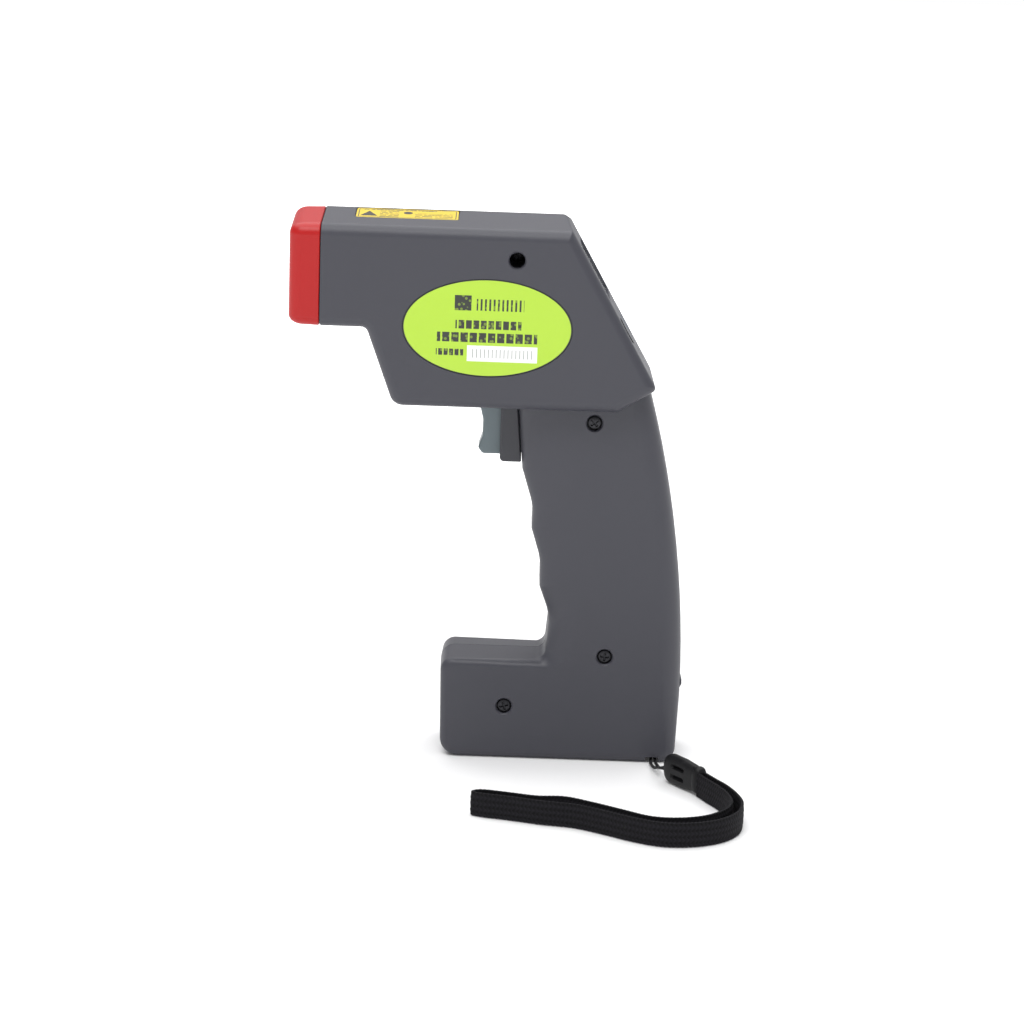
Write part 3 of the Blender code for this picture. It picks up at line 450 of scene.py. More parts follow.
def woven(name, base):
    """Black braided nylon: ribs along the band and slanting picks, from the band's own UV in metres."""
    paint = Paint(name, base, 0.85, specular_ior_level=0.2)
    made = paint.tree.nodes.new("ShaderNodeUVMap")
    made.uv_map = "band"
    along, across, _ = paint.split(Value(paint, made.outputs[0]))
    pick = ((along * (2 * math.pi / 0.0016)) + (across * (2 * math.pi / 0.0024)).sine() * 1.6).sine()
    rib = (across * (2 * math.pi / 0.0024)).sine()
    where, _ = paint.place()
    fuzz = paint.noise(where, 2400.0, 3.0, 0.7)
    weave = pick * 0.35 + rib * 0.4 + fuzz * 0.5
    paint.set("Base Color", paint.mix((weave * 0.5 + 0.25).clamped(), shade(base, 0.45), shade(base, 3.4)))
    paint.set("Roughness", fuzz * 0.15 + 0.75)
    paint.bump(weave, 0.00022, 0.8)
    return paint.material


def twisted(name, base):
    """Twisted polyester string."""
    paint = Paint(name, base, 0.65)
    where, _ = paint.place()
    fuzz = paint.noise(where, 3000.0, 3.0, 0.7)
    paint.set("Base Color", paint.mix(fuzz, shade(base, 0.6), shade(base, 2.6)))
    paint.bump(fuzz, 0.0001, 0.7)
    return paint.material


def battery_jacket(name):
    """Printed steel jacket: dark body with a copper band at one end and a thin pale line."""
    low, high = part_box("battery")
    paint = Paint(name, (0.02, 0.02, 0.022), 0.3, 0.4, coat_weight=0.5)
    where, (x, _, z) = paint.place((low.x, 0.0, low.z))
    band = bar(x, z, (0.008, 0.013), (0.013, 0.08))
    line = bar(x, z, (0.0158, 0.013), (0.0007, 0.08))
    grain = paint.noise(where, 700.0, 2.0)
    tone = paint.mix(band, (0.02, 0.02, 0.022), (0.55, 0.24, 0.09))
    paint.set("Base Color", paint.mix(line, tone, (0.75, 0.74, 0.70)))
    paint.set("Metallic", band * 0.5 + 0.3)
    paint.set("Roughness", grain * 0.15 + 0.22)
    return paint.material


def tinted_glass(name, base, roughness=0.04, transmission=0.92):
    """Clear or tinted window with faint smears."""
    paint = Paint(name, base, roughness, transmission_weight=transmission, ior=1.49)
    where, _ = paint.place()
    smear = paint.noise(where, 120.0, 3.0)
    paint.set("Roughness", smear * 0.05 + roughness)
    paint.bump(smear, 0.000004, 0.4)
    return paint.material


def lcd_ground(name):
    """The liquid crystal panel's grey-green ground with its fine reflector grain."""
    paint = Paint(name, (0.33, 0.37, 0.28), 0.35)
    where, _ = paint.place()
    grain = paint.noise(where, 1800.0, 2.0)
    paint.set("Base Color", paint.mix(grain, (0.30, 0.34, 0.26), (0.37, 0.41, 0.32)))
    paint.set("Roughness", grain * 0.1 + 0.3)
    return paint.material


def finishes(colours):
    """Every finish by its slot name or by its own."""
    return {
        "housing": moulded("shell_plastic", colours.housing, 0.47),
        # The guide's finish is the housing plastic darkened as painted shade for the shadow under the head.
        "guide": moulded("guide_plastic_painted_shade", colours.guide, 0.5),
        "bezel": moulded(
            "nose_plastic", colours.nose, 0.36, grain=0.00001, scuffs=0.2, specular_ior_level=0.35
        ),
        "trigger": moulded("trigger_plastic", colours.trigger, 0.4, grain=0.00001, scuffs=0.25),
        "black_plastic": smooth_plastic("black_plastic", (0.012, 0.012, 0.014), 0.35),
        "screw": metal("black_oxide", (0.05, 0.05, 0.055), 0.38, (1.0, 1.0, 1.0)),
        "steel": metal("bright_steel", (0.55, 0.55, 0.56), 0.3),
        "brass": metal("turned_brass", (0.62, 0.42, 0.16), 0.28, (40.0, 1.0, 1.0)),
        "green_label": oval_print("oval_print", colours.green),
        "yellow_label": roof_print("roof_print", colours.yellow),
        "lens": smooth_plastic("infrared_lens", (0.10, 0.075, 0.06), 0.12, coat_weight=0.8),
        "laser_glass": tinted_glass("laser_glass", (0.35, 0.03, 0.03), 0.05, 0.6),
        "window": tinted_glass("window_acrylic", (0.93, 0.96, 0.95)),
        "lcd": lcd_ground("lcd_ground"),
        "lcd_ink": smooth_plastic("lcd_ink", (0.012, 0.016, 0.014), 0.4),
        "rubber": moulded("key_rubber", (0.11, 0.12, 0.14), 0.62, grain=0.00001, scuffs=0.1),
        "key_ink": smooth_plastic("key_ink", (0.72, 0.73, 0.74), 0.45),
        "board": circuit_board("solder_mask"),
        "battery": battery_jacket("battery_jacket"),
        "red_wire": smooth_plastic("red_insulation", (0.55, 0.015, 0.015), 0.4),
        "black_wire": smooth_plastic("black_insulation", (0.010, 0.010, 0.011), 0.4),
        "strap": woven("woven_nylon", colours.strap),
        "string": twisted("twisted_string", colours.strap),
        "clip": smooth_plastic("clip_plastic", (0.0045, 0.0045, 0.0055), 0.5, specular_ior_level=0.25),
    }


FINISHES = {}


# ================================================================ surface tools


def grid_faces(rows, columns, wrap_rows=False):
    """Quads of a grid whose columns close on themselves: corners (r, c), (r, c+1), (r+1, c+1), (r+1, c)."""
    row, column = np.meshgrid(np.arange(rows if wrap_rows else rows - 1), np.arange(columns), indexing="ij")
    below, beside = (row + 1) % rows, (column + 1) % columns
    here, under = row * columns, below * columns
    quads = (here + column, here + beside, under + beside, under + column)
    return np.stack(quads, -1).reshape(-1, 4)


def signed_volume(points, quads):
    """Volume inside the quads by the divergence theorem, taking each as two triangles."""
    a, b, c, d = (points[quads[:, k]] for k in range(4))
    first = np.einsum("ij,ij->i", a, np.cross(b, c))
    second = np.einsum("ij,ij->i", a, np.cross(c, d))
    return (first + second).sum() / 6.0


def skin(name, rings, closed="caps"):
    """A mesh through rings of points, an array of rings by points by 3, in metres.

    closed is caps for a flat cap at each end, loop where the last ring meets the first, or poles where the
    end rings have shrunk to a point. Faces are turned outwards by the sign of the volume.
    """
    rows, columns = rings.shape[:2]
    points = rings.reshape(-1, 3)
    quads = grid_faces(rows, columns, closed == "loop")
    inwards = points.mean(0)
    flip = signed_volume(points - inwards, quads) < 0
    faces = (quads[:, ::-1] if flip else quads).tolist()
    if closed == "caps":
        first = np.arange(columns)
        last = first + (rows - 1) * columns
        faces += [first.tolist() if flip else first[::-1].tolist()]
        faces += [last[::-1].tolist() if flip else last.tolist()]
    mesh = bpy.data.meshes.new(name)
    mesh.from_pydata(points.tolist(), [], faces)
    if closed == "poles":
        bm = bmesh.new()
        bm.from_mesh(mesh)
        bmesh.ops.remove_doubles(bm, verts=bm.verts, dist=1e-7)
        bm.to_mesh(mesh)
        bm.free()
    mesh.validate()
    return mesh


def joined(name, meshes):
    """Several meshes as one."""
    bm = bmesh.new()
    for mesh in meshes:
        bm.from_mesh(mesh)
        bpy.data.meshes.remove(mesh)
    made = bpy.data.meshes.new(name)
    bm.to_mesh(made)
    bm.free()
    return made


def object_of(name, mesh):
    """Links a mesh as an object at the origin."""
    obj = bpy.data.objects.new(name, mesh)
    bpy.context.scene.collection.objects.link(obj)
    return obj


def piece(name, mesh, finish, body, *stands_for, slot=None, sharp=32.0):
    """A finished piece: material, smooth shading, the body it rides on and the nodes it replaces."""
    obj = object_of(name, mesh)
    mesh.materials.clear()
    mesh.materials.append(FINISHES[finish])
    mesh.shade_smooth()
    mesh.set_sharp_from_angle(angle=math.radians(sharp))
    even = obj.modifiers.new("even shading", "WEIGHTED_NORMAL")
    even.keep_sharp = True
    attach(obj, body)
    if stands_for:
        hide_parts(*stands_for)
    return obj


def placed(mesh, matrix):
    """The mesh moved by a matrix."""
    mesh.transform(matrix)
    return mesh


def outline(corners, pieces=12, runs=3):
    """Closed outline whose corners (x, z, radius) are arcs.

    Each arc is its centre plus the arm to its first point, turned evenly by the angle between the two edges.
    Straight stretches between arcs are cut into runs.
    """
    corners = np.asarray(corners, float)
    spot, radius = corners[:, :2], corners[:, 2]
    along = np.roll(spot, -1, 0) - spot
    along /= np.linalg.norm(along, axis=1, keepdims=True)
    before = np.roll(along, 1, 0)
    turn = np.arctan2(before[:, 0] * along[:, 1] - before[:, 1] * along[:, 0], (before * along).sum(1))
    left = np.stack([-before[:, 1], before[:, 0]], 1)
    start = spot - before * (radius * np.tan(np.abs(turn) / 2))[:, None]
    centre = start + left * (np.sign(turn) * radius)[:, None]
    arm = start - centre
    angle = turn[:, None] * np.linspace(0, 1, pieces + 1)
    cosine, sine = np.cos(angle), np.sin(angle)
    x = centre[:, :1] + arm[:, :1] * cosine - arm[:, 1:] * sine
    z = centre[:, 1:] + arm[:, :1] * sine + arm[:, 1:] * cosine
    arcs = np.stack([x, z], -1)
    share = (np.arange(1, runs) / runs)[None, :, None]
    straight = arcs[:, -1:] + (np.roll(arcs[:, :1], -1, 0) - arcs[:, -1:]) * share
    return np.concatenate([arcs, straight], 1).reshape(-1, 2)


def inset(corners, distances):
    """The outline with edge i moved inwards by distances[i]; corners run clockwise.

    A new corner is where two moved edges cross. Outer radii shrink and inner radii grow by the mean move.
    """
    corners = np.asarray(corners, float)
    distances = np.broadcast_to(np.asarray(distances, float), len(corners))
    spot, radius = corners[:, :2], corners[:, 2]
    along = np.roll(spot, -1, 0) - spot
    along /= np.linalg.norm(along, axis=1, keepdims=True)
    start = spot + np.stack([along[:, 1], -along[:, 0]], 1) * distances[:, None]
    old, first = np.roll(start, 1, 0), np.roll(along, 1, 0)
    cross = first[:, 0] * along[:, 1] - first[:, 1] * along[:, 0]
    apart = start - old
    step = (apart[:, 0] * along[:, 1] - apart[:, 1] * along[:, 0]) / cross
    shift = (np.roll(distances, 1) + distances) / 2
    grown = np.where(cross < 0, radius - shift, radius + shift)
    return np.column_stack([old + first * step[:, None], np.maximum(grown, 0.3)])


def slab_rings(corners, half, edge, pieces=12, steps=6, bow=0.0):
    """Rings of an outline in X and Z carried across Y with rounded edges.

    The inset is edge (1 - sin a) and y is half - edge + edge cos a, for a from 0 to a right angle. bow
    swells the outline in the middle, as 1 - (y / half) squared.
    """
    angle = np.linspace(0, math.pi / 2, steps + 1)
    rise = half - edge + edge * np.cos(angle)
    levels = np.concatenate([-rise, rise[::-1]])
    shrink = np.concatenate([edge * (1 - np.sin(angle)), edge * (1 - np.sin(angle))[::-1]])
    rings = []
    for y, move in zip(levels, shrink):
        loop = outline(inset(corners, move - bow * (1 - (y / half) ** 2)), pieces)
        rings.append(np.column_stack([loop[:, 0], np.full(len(loop), y), loop[:, 1]]))
    return np.array(rings) * MM


def slab(name, corners, half, edge, pieces=12, steps=6, bow=0.0):
    """A closed body: an outline in X and Z with that half width across Y and rounded edges."""
    return skin(name, slab_rings(corners, half, edge, pieces, steps, bow))


def block(name, low, high, edge):
    """A block between two corners whose edges are rounded by that radius."""
    (x0, y0, z0), (x1, y1, z1) = low, high
    corners = [(x0, z1, edge), (x1, z1, edge), (x1, z0, edge), (x0, z0, edge)]
    rings = slab_rings(corners, (y1 - y0) / 2, edge, 6, 5)
    rings[:, :, 1] += (y0 + y1) / 2 * MM
    return skin(name, rings)


def turned(name, profile, sides=48):
    """A profile of (radius, height) points turned about Z: x = r cos t, y = r sin t, z = h.

    Its ends lie on the axis.
    """
    profile = np.asarray(profile, float) * MM
    angle = np.linspace(0, 2 * math.pi, sides, endpoint=False)
    radius, height = profile[:, :1], profile[:, 1:]
    rings = np.stack(
        [radius * np.cos(angle), radius * np.sin(angle), np.repeat(height, sides, 1)],
        -1,
    )
    closed = "poles" if profile[0, 0] == 0 else "loop"
    return skin(name, rings, closed)


def arc(centre, radius, start, end, count=7):
    """Profile points on an arc, angles in degrees from the radius axis towards the height axis."""
    angle = np.radians(np.linspace(start, end, count))
    return [(centre[0] + radius * math.cos(a), centre[1] + radius * math.sin(a)) for a in angle]


def spline(points, steps):
    """Catmull-Rom curve through the points, worked out for all spans at once."""
    given = np.asarray(points, float)
    ends = np.vstack([2 * given[0] - given[1], given, 2 * given[-1] - given[-2]])
    t = (np.arange(steps) / steps)[None, :, None]
    p0, p1, p2, p3 = (ends[k : len(ends) - 3 + k, None] for k in range(4))
    path = 2 * p1 + (p2 - p0) * t + (2 * p0 - 5 * p1 + 4 * p2 - p3) * t**2
    path = 0.5 * (path + (3 * p1 - p0 - 3 * p2 + p3) * t**3)
    return np.vstack([path.reshape(-1, given.shape[1]), given[-1]])


def carved(mesh, steps):
    """The mesh after exact Booleans; steps are (operation, cutter mesh) pairs."""
    body = object_of("carving", mesh)
    cutters = []
    for operation, cutter in steps:
        other = object_of("cutter", cutter)
        cutters.append(other)
        cut = body.modifiers.new("cut", "BOOLEAN")
        cut.operation = operation
        cut.solver = "EXACT"
        cut.object = other
    bpy.context.view_layer.update()
    seen = body.evaluated_get(bpy.context.evaluated_depsgraph_get())
    result = bpy.data.meshes.new_from_object(seen)
    for other in [body, *cutters]:
        bpy.data.objects.remove(other, do_unlink=True)
    return result


def place_on_left(x, z, y):
    """Plane of the left side: X along +X, Y up, Z outwards."""
    return Matrix.Translation(Vector((x, y, z)) * MM) @ Matrix.Rotation(math.pi / 2, 4, "X")


def place_on_roof(x, lift):
    """Plane of the left roof slope: X along +X, Y up the slope, Z outwards."""
    middle = ROOF_LABEL[2] / 2 + 0.8
    y = -middle * math.cos(ROOF_SLOPE) - lift * math.sin(ROOF_SLOPE)
    z = HEAD_TOP - middle * math.sin(ROOF_SLOPE) + lift * math.cos(ROOF_SLOPE)
    return Matrix.Translation(Vector((x, y, z)) * MM) @ Matrix.Rotation(ROOF_SLOPE, 4, "X")


def place_on_display():
    """The sloping face: X along +Y, Y up the slope, Z outwards, from its top edge."""
    top, low = Vector((FACE_TOP[0], 0, FACE_TOP[1])), Vector((FACE_LOW[0], 0, FACE_LOW[1]))
    up = (top - low).normalized()
    out = Vector((up.z, 0, -up.x))
    turn = Matrix((Vector((0, 1, 0)), up, out)).transposed().to_4x4()
    return Matrix.Translation(top * MM) @ turn


DISPLAY = place_on_display()


def along_x(x, y, z, outwards=1):
    """Turns a piece made about Z so that its heights run along +X, or -X, from a point."""
    turn = Matrix.Rotation(outwards * math.pi / 2, 4, "Y")
    return Matrix.Translation(Vector((x, y, z)) * MM) @ turn


def cylinder(name, start, end, radius, flare=0.0, sides=48):
    """A cutter between two points, flared at its start by a small cone so that the cut gets a soft lip."""
    start, end = Vector(start), Vector(end)
    long = (end - start).length
    profile = [(0, 0), (radius + flare, 0), (radius + flare, 1.0)] if flare else [(0, 0), (radius, 0)]
    profile += [(radius, 1.0 + flare)] if flare else []
    profile += [(radius, long), (0, long)]
    mesh = turned(name, profile, sides)
    turn = (end - start).to_track_quat("Z", "Y").to_matrix().to_4x4()
    return placed(mesh, Matrix.Translation(start * MM) @ turn)


# ================================================================ strap


BAND_ROUTE = [
    (91.0, -57.9),
    (94.0, -63.8),
    (97.8, -71.0),
    (101.0, -80.0),
    (102.6, -90.4),
    (100.3, -101.4),
    (93.4, -110.6),
    (82.6, -116.2),
    (70.6, -117.0),
    (59.6, -112.4),
    (49.2, -105.8),
    (38.4, -100.0),
    (26.0, -97.4),
    (13.4, -93.6),
    (3.0, -91.0),
    (-0.9, -88.8),
    (2.8, -86.7),
    (12.6, -88.9),
    (23.8, -91.8),
    (34.4, -91.6),
    (45.0, -97.0),
    (56.2, -104.2),
    (66.8, -110.6),
    (77.6, -111.2),
    (88.2, -107.2),
    (95.6, -99.0),
    (98.6, -89.8),
    (97.5, -80.4),
    (94.4, -72.0),
    (91.0, -65.2),
    (88.6, -59.8),
]


def lengthwise(path):
    """Distance along a path at each of its points."""
    steps = np.linalg.norm(np.diff(path, axis=0), axis=1)
    return np.concatenate([[0.0], np.cumsum(steps)])


def evenly(path, spacing):
    """The path's points at even distances."""
    distance = lengthwise(path)
    where = np.linspace(0, distance[-1], int(distance[-1] / spacing) + 1)
    return np.column_stack([np.interp(where, distance, path[:, k]) for k in range(path.shape[1])])


def tangents(path):
    """Unit directions along a path."""
    along = np.gradient(path, axis=0)
    return along / np.linalg.norm(along, axis=1, keepdims=True)


def band_mesh(path, width, thick):
    """The woven band on edge along a level path.

    Around the section the half thickness follows |cos t|^0.35 and the half width |sin t|^0.5, both with
    their signs. The thickness swells in four lengthwise ribs, and the edges move in and out once a pick.
    """
    along = tangents(path)
    aside = np.column_stack([-along[:, 1], along[:, 0], np.zeros(len(path))])
    distance = lengthwise(path)[:, None]
    t = np.linspace(0, 2 * math.pi, 56, endpoint=False)[None, :]
    across = np.sign(np.cos(t)) * np.abs(np.cos(t)) ** 0.35
    up = np.sign(np.sin(t)) * np.abs(np.sin(t)) ** 0.5
    rib = 0.90 + 0.10 * np.cos(2 * math.pi * up * 2.0)
    pick = 1.0 + 0.010 * np.sin(2 * math.pi * distance / 0.0016) * np.abs(up) ** 8
    lean = 1.0 + 0.012 * np.sin(2 * math.pi * (distance / 0.0032 + np.abs(up) * 1.5))
    side = across * rib * lean * thick / 2
    height = up * pick * width / 2
    rings = path[:, None, :] + aside[:, None, :] * side[:, :, None]
    rings[:, :, 2] += height
    mesh = skin("strap_band", rings)
    layer = mesh.uv_layers.new(name="band")
    corner = np.empty(len(mesh.loops), np.int32)
    mesh.loops.foreach_get("vertex_index", corner)
    values = np.stack([np.repeat(distance, t.shape[1], 1), height], -1).reshape(-1, 2)
    layer.data.foreach_set("uv", values[corner].astype(np.float32).ravel())
    return mesh


def string_mesh(path, radius):
    """Two strands twisted together: radius times 0.78 + 0.22 |cos(angle - twist)|, a turn in 4 mm."""
    along = tangents(path)
    first = np.cross(along, (1.0, 0.0, 0.0))
    first /= np.linalg.norm(first, axis=1, keepdims=True)
    second = np.cross(along, first)
    twist = lengthwise(path)[:, None] * 2 * math.pi / 0.004
    t = np.linspace(0, 2 * math.pi, 24, endpoint=False)[None, :]
    reach = radius * (0.78 + 0.22 * np.abs(np.cos(t - twist)))
    rings = path[:, None, :] + first[:, None, :] * (reach * np.cos(t))[:, :, None]
    rings += second[:, None, :] * (reach * np.sin(t))[:, :, None]
    return skin("strap_string", rings)


def clip_mesh():
    """The moulded clip from its rounded tip to its mouth.

    Each section is a superellipse. Its half height follows a circle at the tip and tapers towards the
    mouth, two shallow grooves run along each side, and a raised rim closes the mouth.
    """
    tip, mouth = np.array(CLIP_TIP), np.array(CLIP_MOUTH)
    long = np.linalg.norm(mouth - tip)
    along = (mouth - tip) / long
    start = 5.0 * (1 - np.cos(np.linspace(0, math.pi / 2, 16)))
    s = np.concatenate([start, np.linspace(5.6, long + 1.2, 44)])
    s = s[:, None]
    tipwards = np.sqrt(np.clip(1 - (1 - np.clip(s / 5.0, 0, 1)) ** 2, 0, 1))
    taper = np.clip((s - long * 0.55) / (long * 0.45), 0, 1)
    rim = np.exp(-(((s - long + 0.9) / 1.1) ** 4)) * 0.35
    fall = np.sqrt(np.clip(1 - np.clip((s - long) / 1.2, 0, 1) ** 2, 0, 1))
    high = (6.0 * tipwards**0.8 - 1.0 * taper + rim) * (0.72 + 0.28 * fall)
    thick = (2.9 * tipwards**0.7 - 0.2 * taper + rim) * (0.72 + 0.28 * fall)
    t = np.linspace(0, 2 * math.pi, 64, endpoint=False)[None, :]
    across = np.sign(np.cos(t)) * np.abs(np.cos(t)) ** 0.62
    up = np.sign(np.sin(t)) * np.abs(np.sin(t)) ** 0.72
    grooves = np.exp(-(((np.abs(up) - 0.34) / 0.09) ** 4)) * (np.abs(across) > 0.3)
    window = np.clip((s - 6.5) / 0.6, 0, 1) * np.clip((14.5 - s) / 0.6, 0, 1)
    side = across * (thick - 1.5 * grooves * window)
    height = up * high
    level = 0.3 + 12.0 / 2
    x = tip[0] + along[0] * s - along[1] * side
    y = tip[1] + along[1] * s + along[0] * side
    rings = np.stack([x + 0 * t, y + 0 * t, level + height], -1) * MM
    centre = rings[-1].mean(0)
    inner = centre + (rings[-1] - centre) * 0.45
    rings = np.concatenate([rings, inner[None], np.repeat(centre[None, None], t.shape[1], 1)])
    rings[0] = rings[0].mean(0)
    return skin("strap_clip", rings, "poles")


class THERMOMETER_OT_strap(bpy.types.Operator):
    """Wrist strap: string loop round the pin, moulded clip and woven band."""

    bl_idname = "thermometer.strap"
    bl_label = "Strap"

    def execute(self, context):
        sizes = context.scene.thermometer_sizes
        tip, mouth = np.array(CLIP_TIP), np.array(CLIP_MOUTH)
        along = (mouth - tip) / np.linalg.norm(mouth - tip)
        clip = piece("wrist_clip", clip_mesh(), "clip", "housing", "strap_clip", slot="black_plastic")
        level = 0.3 + sizes.band_width / MM / 2
        route = spline([(*p, level) for p in BAND_ROUTE], 24)
        first, last = route[0] - [*along * 1.4, 0], route[-1] - [*along * 1.4, 0]
        route = evenly(np.vstack([first, route, last]) * MM, 0.0004)
        mesh = band_mesh(route, sizes.band_width, sizes.band_thick)
        band = piece("wrist_band", mesh, "strap", "housing", "strap_band", sharp=60)
        x, y, z = PIN
        entry = tip + along * 1.2
        aside = np.array((-along[1], along[0])) * 1.6
        rise = 0.3 + 12.0 / 2 - 1.0
        points = [
            (*(entry + aside), rise),
            (75.3, -36.6, 4.6),
            (74.2, -30.0, 2.2),
            (73.2, -21.0, 1.0),
            (73.0, -16.5, 0.95),
            (73.0, -12.6, 0.95),
            (72.9, y + 1.8, z),
            (72.4, y, z + 1.75),
            (71.6, y - 1.8, z + 0.2),
            (71.2, y - 2.8, 0.95),
            (71.0, -21.0, 1.0),
            (72.0, -29.5, 2.0),
            (73.2, -36.3, 4.4),
            (*(entry - aside), rise),
        ]
        line = evenly(spline(points, 24) * MM, 0.00025)
        mesh = string_mesh(line, 0.0006)
        string = piece("wrist_string", mesh, "string", "housing", "strap_string", slot="strap")
        return {"FINISHED"}


# ================================================================ housing shells


HEAD = [
    (NOSE_END, HEAD_TOP, 0.5),
    (*FACE_TOP, 2.5),
    (*FACE_LOW, 2.0),
    (50.6, HEAD_BOTTOM, 3.0),
    (-38.2, HEAD_BOTTOM, 5.5),
    (-49.6, NOSE_BOTTOM, 3.0),
    (NOSE_END, NOSE_BOTTOM, 0.5),
]

# Each row: seam corner (x, z, radius), side-face corner (x, z, radius), depth of the shoulder,
# crown of the edge.
GRIP = [
    ((11.0, 156.0, 0.5), (26.0, 156.0, 0.5), GRIP_ROUND, 0.0),
    ((64.1, 156.0, 0.5), (54.0, 156.0, 0.5), GRIP_ROUND, 0.3),
    ((82.4, 92.0, 435.0), (72.4, 92.0, 425.0), GRIP_ROUND, 0.3),
    ((82.4, 30.0, 20.0), (73.4, 30.0, 14.0), GRIP_ROUND, 0.2),
    ((80.8, 0.0, 6.5), (77.4, 3.0, 4.5), FOOT_EDGE, 0.0),
    ((FOOT_FRONT + 0.8, 0.0, 7.5), (FOOT_FRONT + 3.8, 3.0, 5.0), FOOT_EDGE, 0.3),
    ((FOOT_FRONT, FOOT_TOP, 6.0), (FOOT_FRONT + 3.0, FOOT_TOP - 4.2, 3.5), FOOT_EDGE, 1.2),
    ((25.8, FOOT_TOP, 4.0), (36.0, FOOT_TOP - 4.2, 9.0), 5.0, 0.2),
    ((26.9, 60.5, 20.0), (43.0, 69.0, 20.0), GRIP_ROUND, 0.0),
    ((22.7, 71.7, 0.9), (43.5, 78.2, 3.0), GRIP_ROUND, 0.0),
    ((22.6, 83.2, 25.0), (43.0, 92.5, 20.0), GRIP_ROUND, 0.0),
    ((18.6, 95.8, 0.9), (42.5, 102.4, 3.0), GRIP_ROUND, 0.0),
    ((18.9, 105.0, 25.0), (38.5, 116.0, 20.0), GRIP_ROUND, 0.0),
    ((14.0, 120.5, 4.0), (34.0, 128.5, 10.0), GRIP_ROUND, 0.0),
]


def half_mesh(name, loops, depths, half, side, start, pieces, steps, chamfer=0.0):
    """One side of a body, lofted from the parting plane to the side face.

    Out to the shoulder the outline runs straight. Over the shoulder it moves to the face outline as 1 -
    cos a, while y reaches half - depth (1 - sin a). The depth is interpolated between corners.
    """
    runs = 3
    seam, shoulder, face = (outline(loop, pieces, runs) for loop in loops)
    depth = np.asarray(depths, float)
    share = np.arange(1, runs) / runs
    between = depth[:, None] + (np.roll(depth, -1) - depth)[:, None] * share
    depth = np.concatenate([np.repeat(depth[:, None], pieces + 1, 1), between], 1).ravel()
    levels = [np.column_stack([seam[:, 0], np.full(len(seam), start), seam[:, 1]])]
    if chamfer:
        small = outline(inset(loops[0], chamfer), pieces, runs)
        levels = [np.column_stack([small[:, 0], np.full(len(seam), start), small[:, 1]])]
        levels.append(np.column_stack([seam[:, 0], np.full(len(seam), start + chamfer), seam[:, 1]]))
    angle = np.linspace(0, math.pi / 2, steps + 1)[:, None, None]
    moved = shoulder + (face - shoulder) * (1 - np.cos(angle))
    y = half - depth[None, :] * (1 - np.sin(angle[:, :, 0]))
    rings = np.stack([moved[..., 0], y, moved[..., 1]], -1)
    rings = np.concatenate([np.array(levels), rings]) * MM
    rings[..., 1] *= side
    mesh = skin(name, rings)
    bm = bmesh.new()
    bm.from_mesh(mesh)
    bmesh.ops.triangulate(bm, faces=[face for face in bm.faces if len(face.verts) == 4])
    bm.to_mesh(mesh)
    bm.free()
    return mesh


def head_mesh(side, sizes, wall=0.0):
    """The head on one side, or its cavity when wall is given."""
    roof, edge, half = sizes.roof_edge / MM, sizes.head_edge / MM, sizes.head_half / MM
    seam = inset(HEAD, [wall] * 6 + [-8.0 if wall else 0.0])
    shoulder = inset(seam, (22.0 * math.tan(ROOF_SLOPE), 0, 0, 0, 0, 0, 0))
    face = inset(shoulder, (roof, edge, edge, edge, edge, edge, 0))
    depths = [roof] * 2 + [edge] * 5
    start, chamfer = (-1.0, 0.0) if wall else (SEAM, 0.18)
    pieces = sizes.arc_pieces
    return half_mesh("head", (seam, shoulder, face), depths, half - wall, side, start, pieces, 10, chamfer)


def grip_mesh(side, sizes, wall=0.0):
    """The grip and foot on one side, or their cavity when wall is given."""
    seam, face = [row[0] for row in GRIP], [row[1] for row in GRIP]
    shoulder = inset(seam, [row[3] for row in GRIP])
    if wall:
        seam, shoulder, face = inset(seam, wall), inset(shoulder, wall), inset(face, wall / 2)
    start, chamfer = (-1.0, 0.0) if wall else (SEAM, 0.18)
    depths = [row[2] for row in GRIP]
    pieces, half = sizes.arc_pieces, GRIP_HALF - wall
    return half_mesh("grip", (seam, shoulder, face), depths, half, side, start, pieces, 14, chamfer)


def ellipse(long, short, count=160):
    """Points of an ellipse of those two diameters, clockwise."""
    t = -np.linspace(0, 2 * math.pi, count, endpoint=False)
    return np.column_stack([long / 2 * np.cos(t), short / 2 * np.sin(t)])


def rectangle(width, height, radius, pieces=10):
    """Points of a rectangle with rounded corners, clockwise."""
    x, y = width / 2, height / 2
    return outline([(-x, y, radius), (x, y, radius), (x, -y, radius), (-x, -y, radius)], pieces)


def plate(name, points, low, high, place, edge=0.0, steps=4):
    """A flat outline given thickness from low to high in its own Z, its upper edge rounded, then placed.

    The rounding moves each point towards the outline's middle by edge (1 - cos a) while it rises by edge
    sin a.
    """
    middle = points.mean(0)
    reach = np.linalg.norm(points - middle, axis=1, keepdims=True)
    angle = np.linspace(0, math.pi / 2, steps + 1) if edge else np.zeros(1)
    rings = [np.column_stack([points, np.full(len(points), low)])]
    for a in angle:
        scale = 1 - edge * (1 - math.cos(a)) / reach
        level = np.full(len(points), high - edge * (1 - math.sin(a)))
        rings.append(np.column_stack([middle + (points - middle) * scale, level]))
    return placed(skin(name, np.array(rings) * MM), place)


